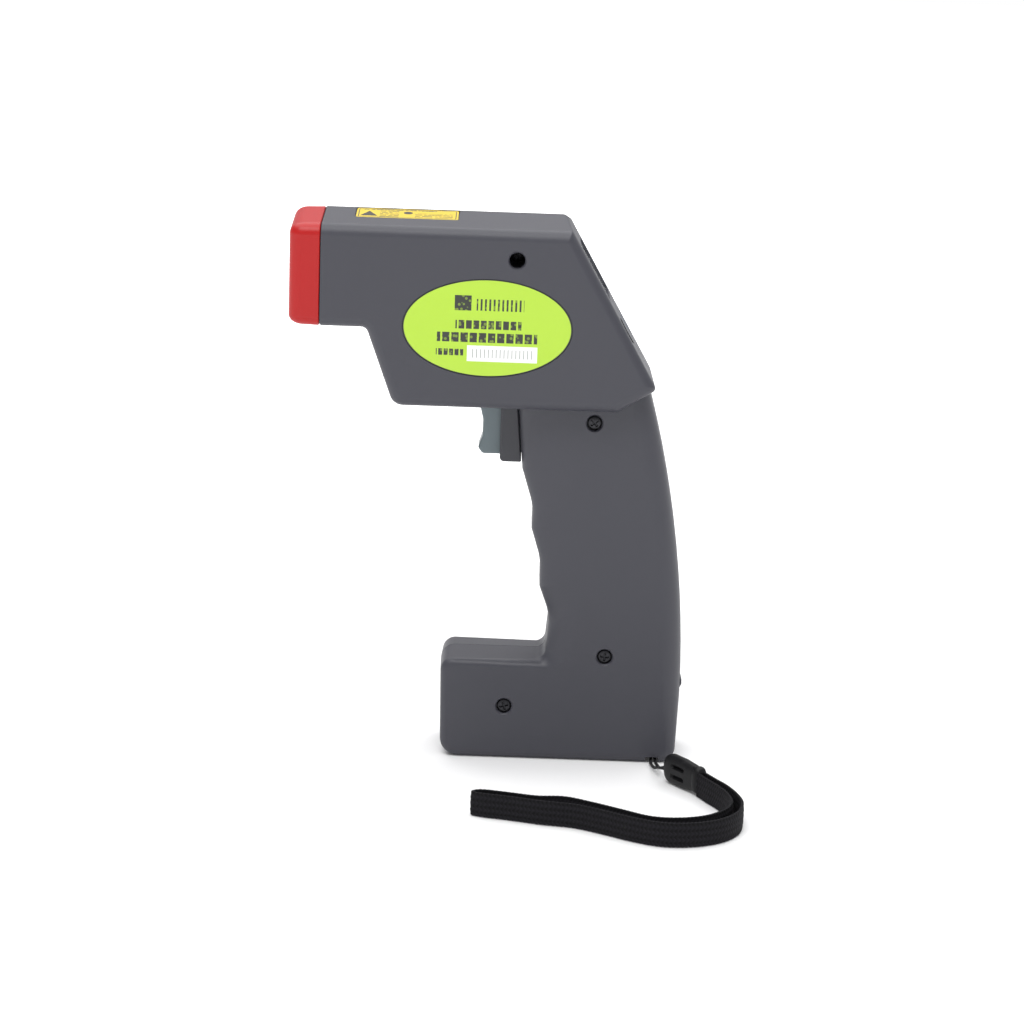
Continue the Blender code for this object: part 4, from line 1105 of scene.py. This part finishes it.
def shell_steps(side, sizes):
    """Everything joined to or cut from one half, in order, as (operation, cutter) pairs."""
    wall = sizes.wall / MM
    steps = [
        ("UNION", grip_mesh(side, sizes)),
        ("DIFFERENCE", head_mesh(side, sizes, wall)),
        ("DIFFERENCE", grip_mesh(side, sizes, wall)),
    ]

    def add_block(x, y, z, edge=0.3):
        near, far = sorted((side * y[0], side * y[1]))
        steps.append(("UNION", block("rib", (x[0], near, z[0]), (x[1], far, z[1]), edge)))

    add_block((31.4, 33.4), (SEAM, GRIP_HALF - 1.0), (127.0, 143.8))
    add_block((30.0, 74.0), (SEAM, GRIP_HALF - 1.0), (31.6, 33.2))
    add_block((30.0, 74.0), (3.0, 7.0), (1.5, 4.3))
    for x, y in ((-18.5, -8.8), (18.5, -8.8), (-18.5, -63.4), (18.5, -63.4)):
        if x * side > 0:
            steps.append(("UNION", placed(cylinder("post", (x, y, -6.7), (x, y, -1.2), 2.3), DISPLAY)))
            steps.append(("DIFFERENCE", placed(cylinder("bore", (x, y, -8.0), (x, y, -2.6), 1.2), DISPLAY)))
    for x, z, outer, depth in SCREWS.values():
        seat = outer - depth - 2.4
        if side < 0:
            steps.append(("UNION", cylinder("boss", (x, -outer + 1.0, z), (x, -SEAM, z), 4.6)))
            mouth = outer + 0.02
            steps.append(("DIFFERENCE", cylinder("pocket", (x, -outer - 1.0, z), (x, -seat, z), 3.15)))
            flare = [(0, 0), (3.95, 0), (3.55, 0.5), (3.15, 1.0), (3.15, 1.4), (0, 1.4)]
            cone = placed(turned("mouth", flare), along_y(x, -mouth - 0.35, z))
            steps.append(("DIFFERENCE", cone))
            steps.append(("DIFFERENCE", cylinder("shank", (x, -outer, z), (x, 1.0, z), 1.75)))
        else:
            steps.append(("UNION", cylinder("boss", (x, SEAM, z), (x, outer - 1.0, z), 3.6)))
            steps.append(("DIFFERENCE", cylinder("blind", (x, -1.0, z), (x, 14.0, z), 1.75)))
    steps += shared_cuts()
    return steps + left_steps() if side < 0 else steps


def along_y(x, y, z):
    """Turns a piece made about Z so that its heights run along +Y from a point."""
    return Matrix.Translation(Vector((x, y, z)) * MM) @ Matrix.Rotation(-math.pi / 2, 4, "X")


def shared_cuts():
    """Openings that pass through both halves or lie on their parting plane."""
    cuts = [
        block("slot", (9.0, -5.0, 124.9), (22.0, 5.0, 146.7), 0.4),
        block("door", (76.0, -10.3, 3.6), (90.0, 10.3, 36.1), 0.4),
        plate("window", rectangle(35.6, 24.6, 1.2), -6.0, 3.0, DISPLAY @ Matrix.Translation((0, -0.0245, 0))),
    ]
    for k in (-1, 0, 1):
        x = k * 13.0
        cuts.append(placed(cylinder("key", (x, -51.0, -5.0), (x, -51.0, 3.0), 5.1), DISPLAY))
        flare = [(0, -1.0), (5.1, -1.0), (5.1, -0.35), (5.25, -0.12), (5.5, 0.02), (5.8, 0.3), (0, 0.3)]
        cuts.append(placed(turned("mouth", flare), DISPLAY @ Matrix.Translation((x * MM, -0.051, 0))))
    return [("DIFFERENCE", cut) for cut in cuts]


def left_steps():
    """Label recesses and the anchor of the strap, in the left half only."""
    x, z, long, short = OVAL
    side = plate("oval", ellipse(long + 0.8, short + 0.8), -1.0, 1.0, place_on_left(x, z, -27.4))
    x, long, wide = ROOF_LABEL
    roof = plate("roof", rectangle(long + 0.8, wide + 0.8, 1.6), -1.0, 1.0, place_on_roof(x, 0.4))
    x, y, z = PIN
    return [
        ("DIFFERENCE", side),
        ("DIFFERENCE", roof),
        ("UNION", block("anchor", (x - 5.6, y - 4.0, 1.0), (x + 4.3, y + 3.9, 6.4), 0.2)),
        ("DIFFERENCE", block("pocket", (x - 2.8, y - 2.9, -1.0), (x + 2.8, y + 2.9, 5.4), 0.4)),
        ("DIFFERENCE", block("way_out", (x - 2.6, y - 8.0, -1.0), (x + 2.6, y - 2.0, 2.6), 0.6)),
        ("DIFFERENCE", cylinder("pin", (x - 4.9, y, z), (x + 3.6, y, z), 1.1)),
    ]


class THERMOMETER_OT_shells(bpy.types.Operator):
    """The two moulded halves of the housing."""

    bl_idname = "thermometer.shells"
    bl_label = "Housing shells"

    def execute(self, context):
        sizes = context.scene.thermometer_sizes
        for side, word in ((-1, "left"), (1, "right")):
            mesh = carved(head_mesh(side, sizes), shell_steps(side, sizes))
            if len(mesh.vertices) < 2000:
                raise RuntimeError(f"the {word} shell lost its surface")
            piece(f"{word}_shell", mesh, "housing", "housing", f"{word}_housing", sharp=28)
        return {"FINISHED"}


# ================================================================ labels


class THERMOMETER_OT_labels(bpy.types.Operator):
    """The oval side label and the roof label in their recesses."""

    bl_idname = "thermometer.labels"
    bl_label = "Labels"

    def execute(self, context):
        x, z, long, short = OVAL
        place = place_on_left(x, z, -26.82)
        side = plate("side_label", ellipse(long, short), -0.12, 0.12, place, 0.1)
        piece("side_label", side, "green_label", "housing", "oval_label", sharp=50)
        x, long, wide = ROOF_LABEL
        roof = plate("top_label", rectangle(long, wide, 1.2), -0.12, 0.12, place_on_roof(x, -0.18), 0.1)
        piece("top_label", roof, "yellow_label", "housing", "roof_label", sharp=50)
        return {"FINISHED"}


# ================================================================ nose and optics


def nose_section(shrink):
    """The nose's corners in Y and Z, roof and sides, moved inwards by shrink."""
    eave = HEAD_TOP - 27.0 * math.tan(ROOF_SLOPE)
    corners = [
        (-27.0, NOSE_BOTTOM, 4.0),
        (-27.0, eave, 5.0),
        (0.0, HEAD_TOP, 12.0),
        (27.0, eave, 5.0),
        (27.0, NOSE_BOTTOM, 4.0),
    ]
    return inset(corners, shrink)


def opening_section(grow):
    """The nose opening's five corners in Y and Z, grown by grow."""
    corners = [
        (-21.0, 183.0, 3.0),
        (-21.0, 211.9, 3.0),
        (0.0, 213.4, 20.0),
        (21.0, 211.9, 3.0),
        (21.0, 183.0, 3.0),
    ]
    return inset(corners, -grow)


def nose_rings():
    """Sections of the nose ring from the seam forwards, over the rim and back down the opening.

    The front edge falls 4 (1 - cos a) mm while it comes forward 5.4 sin a mm. The lip turns in on a small
    arc.
    """
    front, rear = BEZEL_FRONT, NOSE_END - 0.3
    sections = [(rear, nose_section(0.35)), (rear - 0.35, nose_section(0.0))]
    for a in np.linspace(0, math.pi / 2, 13):
        sections.append((front + 5.4 * (1 - math.sin(a)), nose_section(0.2 + 4.0 * (1 - math.cos(a)))))
    for a in np.linspace(0, math.pi / 2, 6):
        sections.append((front + 0.9 * (1 - math.cos(a)), opening_section(0.75 - 0.75 * math.sin(a))))
    wide = opening_section(2.6)
    sections += [(rear - 2.4, opening_section(0.0)), (rear - 2.4, wide), (rear, wide)]
    rings = []
    for x, corners in sections:
        loop = outline(corners, 12, 6)
        rings.append(np.column_stack([np.full(len(loop), x), loop[:, 0], loop[:, 1]]))
    return np.array(rings) * MM


def across_nose(x):
    """Places an outline's plane across the nose: its X along +Y, its Y along +Z, its Z along +X."""
    turn = Matrix((Vector((0, 1, 0)), Vector((0, 0, 1)), Vector((1, 0, 0)))).transposed().to_4x4()
    return Matrix.Translation(Vector((x, 0, 0)) * MM) @ turn


class THERMOMETER_OT_nose(bpy.types.Operator):
    """Red nose ring, front baffle, lens and barrel."""

    bl_idname = "thermometer.nose"
    bl_label = "Nose and optics"

    def execute(self, context):
        ring = skin("nose_ring", nose_rings(), "loop")
        piece("nose_ring", ring, "bezel", "housing", "nose_bezel", sharp=40)
        rear, front = NOSE_END - 0.3, NOSE_END + 0.4
        rings = plate_rings(outline(opening_section(2.2), 10), -0.8, 0.8)
        flat = placed(skin("baffle", rings), across_nose(rear - 1.2))
        cut = [(0, -4.0), (8.9, -4.0), (8.9, 0.1), (9.6, 0.9), (9.6, 4.0), (0, 4.0)]
        small = [(0, -4.0), (2.3, -4.0), (2.3, 0.2), (3.0, 0.9), (3.0, 4.0), (0, 4.0)]
        sight = placed(turned("sight", cut, 96), along_x(rear - 1.2, 0, LENS_Z, -1))
        beam = placed(turned("beam", small, 48), along_x(rear - 1.2, 0, LASER_Z, -1))
        baffle = carved(flat, [("DIFFERENCE", sight), ("DIFFERENCE", beam)])
        piece("baffle", baffle, "black_plastic", "housing", "front_baffle")
        reach = 9.2
        bulge = [(reach * math.sin(a), 1.1 * (1 - math.cos(a)) + 0.0) for a in np.linspace(0, 1.2, 9)]
        lens = [(0, 0)] + [(r, h) for r, h in bulge[1:]] + [(reach, 1.0), (reach, 2.0), (0, 2.4)]
        glass = placed(turned("lens", lens, 64), along_x(front, 0, LENS_Z))
        piece("lens", glass, "lens", "housing", "ir_lens")
        steps = [(9.5, 2.8), (7.9, 2.8)]
        for k in range(8):
            near, far = 3.2 + 3.1 * k, 5.2 + 3.1 * k
            steps += [(7.9 - 0.36 * k, near), (7.5 - 0.36 * k, near)]
            steps += [(7.5 - 0.36 * k, far), (7.6 - 0.36 * k, far)]
        tube = [(9.5, 0.0), *steps, (4.9, 28.4), (4.9, 31.7), (5.2, 32.0), (10.8, 32.0), (11.1, 31.7)]
        tube += [(11.1, 6.0), (10.9, 5.7), (10.9, 4.3), (11.1, 4.0), (11.1, 0.3), (10.8, 0.0)]
        barrel = placed(turned("barrel", tube, 64), along_x(front, 0, LENS_Z))
        piece("barrel", barrel, "black_plastic", "housing", "lens_barrel")
        return {"FINISHED"}


def plate_rings(points, low, high, edge=0.25):
    """Rings of a flat outline from low to high, with small rounded edges moved towards the middle."""
    middle = points.mean(0)
    reach = np.linalg.norm(points - middle, axis=1, keepdims=True)
    rings = []
    for a in np.linspace(0, math.pi / 2, 4):
        shrink = 1 - edge * (1 - math.sin(a)) / reach
        rings.append((middle + (points - middle) * shrink, low + edge * (1 - math.cos(a))))
    rings += [(loop, low + high - level) for loop, level in rings[::-1]]
    return np.array([np.column_stack([loop, np.full(len(loop), level)]) for loop, level in rings]) * MM


# ================================================================ display and keys


DIGIT_BARS = {"2": "abged", "3": "abgcd", "6": "afgedc", "C": "afed", "-": "g"}
BAR_PLACES = {
    "a": (0.0, 1.0, 0),
    "b": (0.5, 0.5, 1),
    "c": (0.5, -0.5, 1),
    "d": (0.0, -1.0, 0),
    "e": (-0.5, -0.5, 1),
    "f": (-0.5, 0.5, 1),
    "g": (0.0, 0.0, 0),
}


def bar_outline(centre, length, thick, upright):
    """A display bar: a strip with pointed ends, lying or upright."""
    half, side = length / 2, thick / 2
    points = [(-half, 0), (side - half, side), (half - side, side)]
    points += [(half, 0), (half - side, -side), (side - half, -side)]
    points = np.array(points)
    return (points[:, ::-1] if upright else points) + centre


def digit_meshes(sign, x, y, height):
    """The bars of one seven-bar digit centred on a point."""
    thick, half = height * 0.105, height / 2
    made = []
    for name in DIGIT_BARS[sign]:
        across, up, upright = BAR_PLACES[name]
        centre = (x + across * height * 0.5 + up * height * 0.04, y + up * half)
        points = bar_outline(centre, half - thick * 0.25, thick, upright)
        made.append(plate("bar", points, -2.88, -2.80, DISPLAY))
    return made


def display_print():
    """The panel's dark print: a reading in bars, a point, a degree ring, a battery sign and a scale."""
    made = []
    for sign, x in (("2", -10.4), ("3", -3.0), ("6", 5.6)):
        made += digit_meshes(sign, x, -24.9, 9.6)
    made += digit_meshes("C", 13.3, -23.2, 4.6)
    dot = DISPLAY @ Matrix.Translation((0.0012, -0.0297, 0))
    made.append(plate("point", ellipse(1.1, 1.1, 24), -2.88, -2.80, dot))
    ring = [(0.75, -2.88), (1.05, -2.88), (1.05, -2.80), (0.75, -2.80)]
    made.append(placed(turned("degree", ring, 24), DISPLAY @ Matrix.Translation((0.0103, -0.0201, 0))))
    case = [(-15.6, -16.0, 3.4, 0.28), (-15.6, -14.4, 3.4, 0.28)]
    case += [(-17.2, -15.2, 0.28, 1.8), (-14.0, -15.2, 0.28, 1.8)]
    case += [(-13.6, -15.2, 0.5, 0.8), (-16.4, -15.2, 0.7, 1.1), (-15.5, -15.2, 0.7, 1.1)]
    case += [(-14.5 + 1.45 * k, -34.3, 0.22, 1.9 if k % 5 == 0 else 1.1) for k in range(21)]
    for x, y, wide, tall in case:
        centre = DISPLAY @ Matrix.Translation((x * MM, y * MM, 0))
        made.append(plate("mark", rectangle(wide, tall, 0.08, 2), -2.88, -2.80, centre))
    return joined("display_print", made)


def key_mesh(x):
    """A round key: dished top, rounded rim, straight skirt and a flange under the face."""
    dish = [(0, -0.30), (1.2, -0.27), (2.4, -0.17), (3.3, 0.0)]
    rim = arc((3.9, -0.8), 0.9, 95, 0, 8)
    profile = dish + rim + [(4.8, -2.3), (4.95, -2.5), (5.6, -2.5), (5.6, -3.1), (0, -3.1)]
    return placed(turned("key", profile, 64), DISPLAY @ Matrix.Translation((x * MM, -0.051, 0)))


def key_sign(kind, x):
    """A sign printed on a key: a triangle up or down, or a spot with four rays."""
    place = DISPLAY @ Matrix.Translation((x * MM, -0.051, 0))
    if kind != "laser":
        turn = 1 if kind == "up" else -1
        corners = [(-1.9, -1.3 * turn, 0.25), (0.0, 1.7 * turn, 0.25), (1.9, -1.3 * turn, 0.25)]
        return plate("sign", outline(corners if turn > 0 else corners[::-1], 4), -0.40, -0.12, place)
    made = [plate("spot", ellipse(1.3, 1.3, 32), -0.40, -0.14, place)]
    for k in range(4):
        quarter = Matrix.Rotation(math.pi / 2 * k + math.pi / 4, 4, "Z")
        turn = place @ quarter @ Matrix.Translation((0.0017, 0, 0))
        made.append(plate("ray", rectangle(1.3, 0.4, 0.15, 3), -0.40, -0.12, turn))
    return joined("sign", made)


class THERMOMETER_OT_display(bpy.types.Operator):
    """Window, liquid crystal print and the three keys."""

    bl_idname = "thermometer.display"
    bl_label = "Display and keys"

    def execute(self, context):
        place = DISPLAY @ Matrix.Translation((0, -0.0245, 0))
        glass = placed(skin("glass", plate_rings(rectangle(35.0, 24.0, 1.0), -2.4, -0.8, 0.3)), place)
        piece("window_glass", glass, "window", "housing", "display_window")
        piece("display_print", display_print(), "lcd_ink", "housing", slot="black_plastic")
        keys = (("up", -13.0, "up_key"), ("laser", 0.0, "laser_key"), ("down", 13.0, "down_key"))
        for kind, x, body in keys:
            piece(f"{kind}_cap", key_mesh(x), "rubber", body, body)
            piece(f"{kind}_sign", key_sign(kind, x), "key_ink", body, slot="rubber")
        return {"FINISHED"}


# ================================================================ trigger


class THERMOMETER_OT_trigger(bpy.types.Operator):
    """Trigger with its tongue, and the block that it slides in."""

    bl_idname = "thermometer.trigger"
    bl_label = "Trigger"

    def execute(self, context):
        low, high = 125.3, 146.7
        corners = [
            (-4.3, high, 0.8),
            (7.4, high, 0.6),
            (7.4, low, 0.6),
            (-2.4, low, 1.6),
            (-4.2, low + 2.4, 1.0),
            (-2.5, 132.8, 6.0),
            (-2.5, 139.4, 6.0),
        ]
        blade = slab("blade", corners, 6.5, 0.9, 10, 7)
        tongue = block("tongue", (6.0, -4.5, 130.0), (20.0, 4.5, 142.0), 0.5)
        web = block("web", (6.0, -4.5, 125.8), (15.6, 4.5, 146.0), 0.4)
        blade = carved(blade, [("UNION", web), ("UNION", tongue)])
        piece("trigger_blade", blade, "trigger", "trigger", "trigger")
        top = HEAD_BOTTOM - 0.3
        corners = [(4.7, top, 0.5), (11.4, top, 0.5), (13.5, 122.8, 0.6), (4.7, 122.8, 1.8)]
        guide = slab("guide", corners, 9.5, 0.7, 10, 6)
        channel = block("channel", (-5.0, -6.8, 125.0), (30.0, 6.8, 160.0), 0.4)
        piece("guide_block", carved(guide, [("DIFFERENCE", channel)]), "guide", "housing", "trigger_guide")
        return {"FINISHED"}


# ================================================================ battery


class THERMOMETER_OT_battery(bpy.types.Operator):
    """Block battery with its studs, snap and rear door."""

    bl_idname = "thermometer.battery"
    bl_label = "Battery and door"

    def execute(self, context):
        start, end, low, high = 29.8, 75.8, 4.6, 31.1
        case = block("battery", (start, -8.75, low), (end, 8.75, high), 1.4)
        ring = [(3.2, 0.0), (3.2, 1.6), (2.7, 2.4), (2.2, 2.4), (2.2, 0.6), (0, 0.6), (0, -1.0), (3.2, -1.0)]
        stud = [(0, 2.4), (1.7, 2.4), (2.0, 2.1), (1.8, 1.4), (2.2, 0.0), (2.2, -1.0), (0, -1.0)]
        middle = (low + high) / 2
        profile = ring[4:6] + ring[6:] + ring[:4]
        socket = placed(turned("stud", profile, 32), along_x(start, 0, middle - 6.3, -1))
        post = placed(turned("stud", stud, 32), along_x(start, 0, middle + 6.3, -1))
        piece("battery_block", joined("battery", [case, socket, post]), "battery", "housing", "battery")
        snap = block("snap", (start - 5.6, -6.0, low + 1.6), (start - 2.7, 6.0, high - 1.6), 0.9)
        piece("snap_cap", snap, "black_plastic", "housing", "battery_snap")
        corners = [
            (78.6, 35.8, 0.4),
            (82.2, 35.8, 0.6),
            (82.75, 33.8, 0.6),
            (82.75, 31.8, 0.6),
            (82.1, 30.6, 0.6),
            (80.95, 3.9, 1.1),
            (78.6, 3.9, 1.1),
        ]
        door = slab("door", corners, 10.0, 0.45, 8, 5)
        piece("rear_door", door, "housing", "battery_door", "battery_door")
        return {"FINISHED"}


# ================================================================ screws


def screw_mesh(top, turn):
    """A pan-head screw about Z, head upwards, made as height over radius and angle.

    The top is a flat dome. A cross recess sinks 1.1 mm where the smaller of |x|, |y| is within a slot's
    half width and the larger is within its reach, each through a smooth step. Below follow the head's
    side, shank and point.
    """
    t = np.linspace(0, 2 * math.pi, 96, endpoint=False)[None, :]
    radius = np.linspace(0, 2.55, 30)[:, None]
    x, y = radius * np.cos(t + turn), radius * np.sin(t + turn)
    narrow, wide = np.minimum(np.abs(x), np.abs(y)), np.maximum(np.abs(x), np.abs(y))
    inside = np.clip((0.42 - narrow) / 0.12, 0, 1) * np.clip((1.85 - wide) / 0.25, 0, 1)
    height = -0.42 * (radius / 2.55) ** 3 - 1.1 * inside * (1 - 0.35 * wide / 1.85)
    below = [(2.72, -0.66), (2.8, -1.0), (2.8, -2.05), (1.45, -2.1)]
    below = np.array([*below, (1.45, -top - 9.0), (0.0, -top - 11.0)])
    radius = np.concatenate([np.repeat(radius, 96, 1), np.repeat(below[:, :1], 96, 1)])
    height = np.concatenate([height, np.repeat(below[:, 1:], 96, 1)])
    rings = np.stack([radius * np.cos(t), radius * np.sin(t), height], -1) * MM
    return skin("screw", rings, "poles")


class THERMOMETER_OT_screws(bpy.types.Operator):
    """The four housing screws."""

    bl_idname = "thermometer.screws"
    bl_label = "Housing screws"

    def execute(self, context):
        turns = (0.35, 0.9, 0.1, 1.3)
        for turn, (name, (x, z, outer, depth)) in zip(turns, SCREWS.items()):
            top = outer - depth
            mesh = placed(screw_mesh(top, turn), place_on_left(x, z, -top))
            piece(f"{name}_turned", mesh, "screw", "housing", name, sharp=40)
        return {"FINISHED"}


# ================================================================ inner parts kept as packed


KEPT = {
    "keypad_mat": "rubber",
    "lcd_panel": "lcd",
    "main_board": "board",
    "sensor_board": "board",
    "processor_chip": "black_plastic",
    "buzzer": "black_plastic",
    "trigger_switch": "black_plastic",
    "trigger_spring": "steel",
    "board_screw_1": "steel",
    "board_screw_2": "steel",
    "board_screw_3": "steel",
    "board_screw_4": "steel",
    "lanyard_pin": "steel",
    "thermopile_sensor": "steel",
    "laser_module": "brass",
    "laser_window": "laser_glass",
    "battery_lead_red": "red_wire",
    "battery_lead_black": "black_wire",
    "sensor_lead": "black_wire",
    "laser_lead": "red_wire",
}


class THERMOMETER_OT_inside(bpy.types.Operator):
    """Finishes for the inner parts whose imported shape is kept."""

    bl_idname = "thermometer.inside"
    bl_label = "Inner parts"

    def execute(self, context):
        for name, finish in KEPT.items():
            mesh = NODES[name].data
            if not len(mesh.materials):
                mesh.materials.append(FINISHES[finish])
            for place in range(len(mesh.materials)):
                mesh.materials[place] = FINISHES[finish]
        return {"FINISHED"}


# ================================================================ finishes and stage


class THERMOMETER_OT_finishes(bpy.types.Operator):
    """Makes every material."""

    bl_idname = "thermometer.finishes"
    bl_label = "Finishes"

    def execute(self, context):
        FINISHES.update(finishes(context.scene.thermometer_colours))
        return {"FINISHED"}


def area_light(name, place, target, size, power):
    """A rectangular soft light aimed at a point."""
    data = bpy.data.lights.new(name, "AREA")
    data.shape = "RECTANGLE"
    data.size, data.size_y = size
    data.energy = power
    lamp = bpy.data.objects.new(name, data)
    bpy.context.scene.collection.objects.link(lamp)
    aim = Vector(target) - Vector(place)
    lamp.matrix_world = Matrix.Translation(place) @ aim.to_track_quat("-Z", "Y").to_matrix().to_4x4()


def pale_world():
    """A pale surrounding, softer overhead than below the horizon."""
    world = bpy.data.worlds.new("studio")
    bpy.context.scene.world = world
    world.use_nodes = True
    tree = world.node_tree
    where = tree.nodes.new("ShaderNodeTexCoord")
    split = tree.nodes.new("ShaderNodeSeparateXYZ")
    ramp = tree.nodes.new("ShaderNodeValToRGB")
    ramp.color_ramp.elements[0].position = 0.0
    ramp.color_ramp.elements[0].color = (1.0, 1.0, 1.0, 1.0)
    ramp.color_ramp.elements[1].position = 0.25
    ramp.color_ramp.elements[1].color = (0.42, 0.42, 0.43, 1.0)
    tree.links.new(where.outputs["Generated"], split.inputs[0])
    tree.links.new(split.outputs["Z"], ramp.inputs[0])
    tree.links.new(ramp.outputs[0], tree.nodes["Background"].inputs["Color"])
    tree.nodes["Background"].inputs["Strength"].default_value = 1.0


class THERMOMETER_OT_stage(bpy.types.Operator):
    """Camera, floor, lights and surrounding."""

    bl_idname = "thermometer.stage"
    bl_label = "Stage"

    def execute(self, context):
        data = bpy.data.cameras.new("camera")
        data.lens = 89.65
        data.sensor_width = 36.0
        data.clip_start = 0.01
        camera = bpy.data.objects.new("camera", data)
        context.scene.collection.objects.link(camera)
        turn = Matrix.Rotation(math.radians(77.213), 4, "X") @ Matrix.Rotation(math.radians(2.0), 4, "Z")
        camera.matrix_world = Matrix.Translation((0.0105, -1.02, 0.3314)) @ turn
        context.scene.camera = camera
        context.scene.view_settings.view_transform = "Standard"
        angle = np.linspace(0, 2 * math.pi, 96, endpoint=False)[None, :]
        radius = np.array([0.0, 0.6, 3.0, 15.0, 15.0, 0.0])[:, None]
        depth = np.array([0.0, 0.0, 0.0, 0.0, -0.01, -0.01])[:, None]
        rings = np.stack([radius * np.cos(angle), radius * np.sin(angle), depth + 0 * angle], -1)
        floor = object_of("floor", skin("floor", rings, "poles"))
        paint = Paint("floor_paint", (0.86, 0.86, 0.86), 0.8)
        where, _ = paint.place()
        paint.set("Base Color", paint.mix(paint.noise(where, 3.0), (0.85, 0.85, 0.85), (0.87, 0.87, 0.87)))
        x, y, _ = paint.split(where)
        away = ((x.power(2.0) + y.power(2.0)).power(0.5) * 0.9 - 0.15).clamped()
        paint.set("Emission Color", paint.mix(away, (0.03, 0.03, 0.03), (0.85, 0.85, 0.85)))
        paint.set("Emission Strength", 1.0)
        floor.data.materials.append(paint.material)
        area_light("key", (-0.3, -1.0, 1.9), (0.0, 0.0, 0.1), (1.3, 0.9), 23.0)
        area_light("overhead", (0.0, 0.9, 2.3), (0.0, 0.3, 0.0), (3.6, 3.0), 80.0)
        pale_world()
        return {"FINISHED"}


# ================================================================ panel and registration


OPERATORS = (
    THERMOMETER_OT_finishes,
    THERMOMETER_OT_stage,
    THERMOMETER_OT_strap,
    THERMOMETER_OT_shells,
    THERMOMETER_OT_labels,
    THERMOMETER_OT_nose,
    THERMOMETER_OT_display,
    THERMOMETER_OT_trigger,
    THERMOMETER_OT_battery,
    THERMOMETER_OT_screws,
    THERMOMETER_OT_inside,
)


class THERMOMETER_PT_panel(bpy.types.Panel):
    """Sizes, colours and one button for each group of pieces."""

    bl_idname = "THERMOMETER_PT_panel"
    bl_label = "Infrared thermometer"
    bl_space_type = "VIEW_3D"
    bl_region_type = "UI"
    bl_category = "Thermometer"

    def draw(self, context):
        for group in (context.scene.thermometer_sizes, context.scene.thermometer_colours):
            column = self.layout.column(align=True)
            for name in group.__annotations__:
                column.prop(group, name)
        for operator in OPERATORS:
            self.layout.operator(operator.bl_idname)


CLASSES = (ThermometerSizes, ThermometerColours, *OPERATORS, THERMOMETER_PT_panel)


def register():
    """Registers the classes and puts the user values on the scene."""
    for made in CLASSES:
        bpy.utils.register_class(made)
    bpy.types.Scene.thermometer_sizes = bpy.props.PointerProperty(type=ThermometerSizes)
    bpy.types.Scene.thermometer_colours = bpy.props.PointerProperty(type=ThermometerColours)


def unregister():
    """Takes the user values and the classes away again."""
    del bpy.types.Scene.thermometer_sizes
    del bpy.types.Scene.thermometer_colours
    for made in reversed(CLASSES):
        bpy.utils.unregister_class(made)


def main():
    """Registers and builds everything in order."""
    register()
    for operator in OPERATORS:
        group, name = operator.bl_idname.split(".")
        getattr(getattr(bpy.ops, group), name)()
    bpy.context.view_layer.update()


if __name__ == "__main__":
    main()
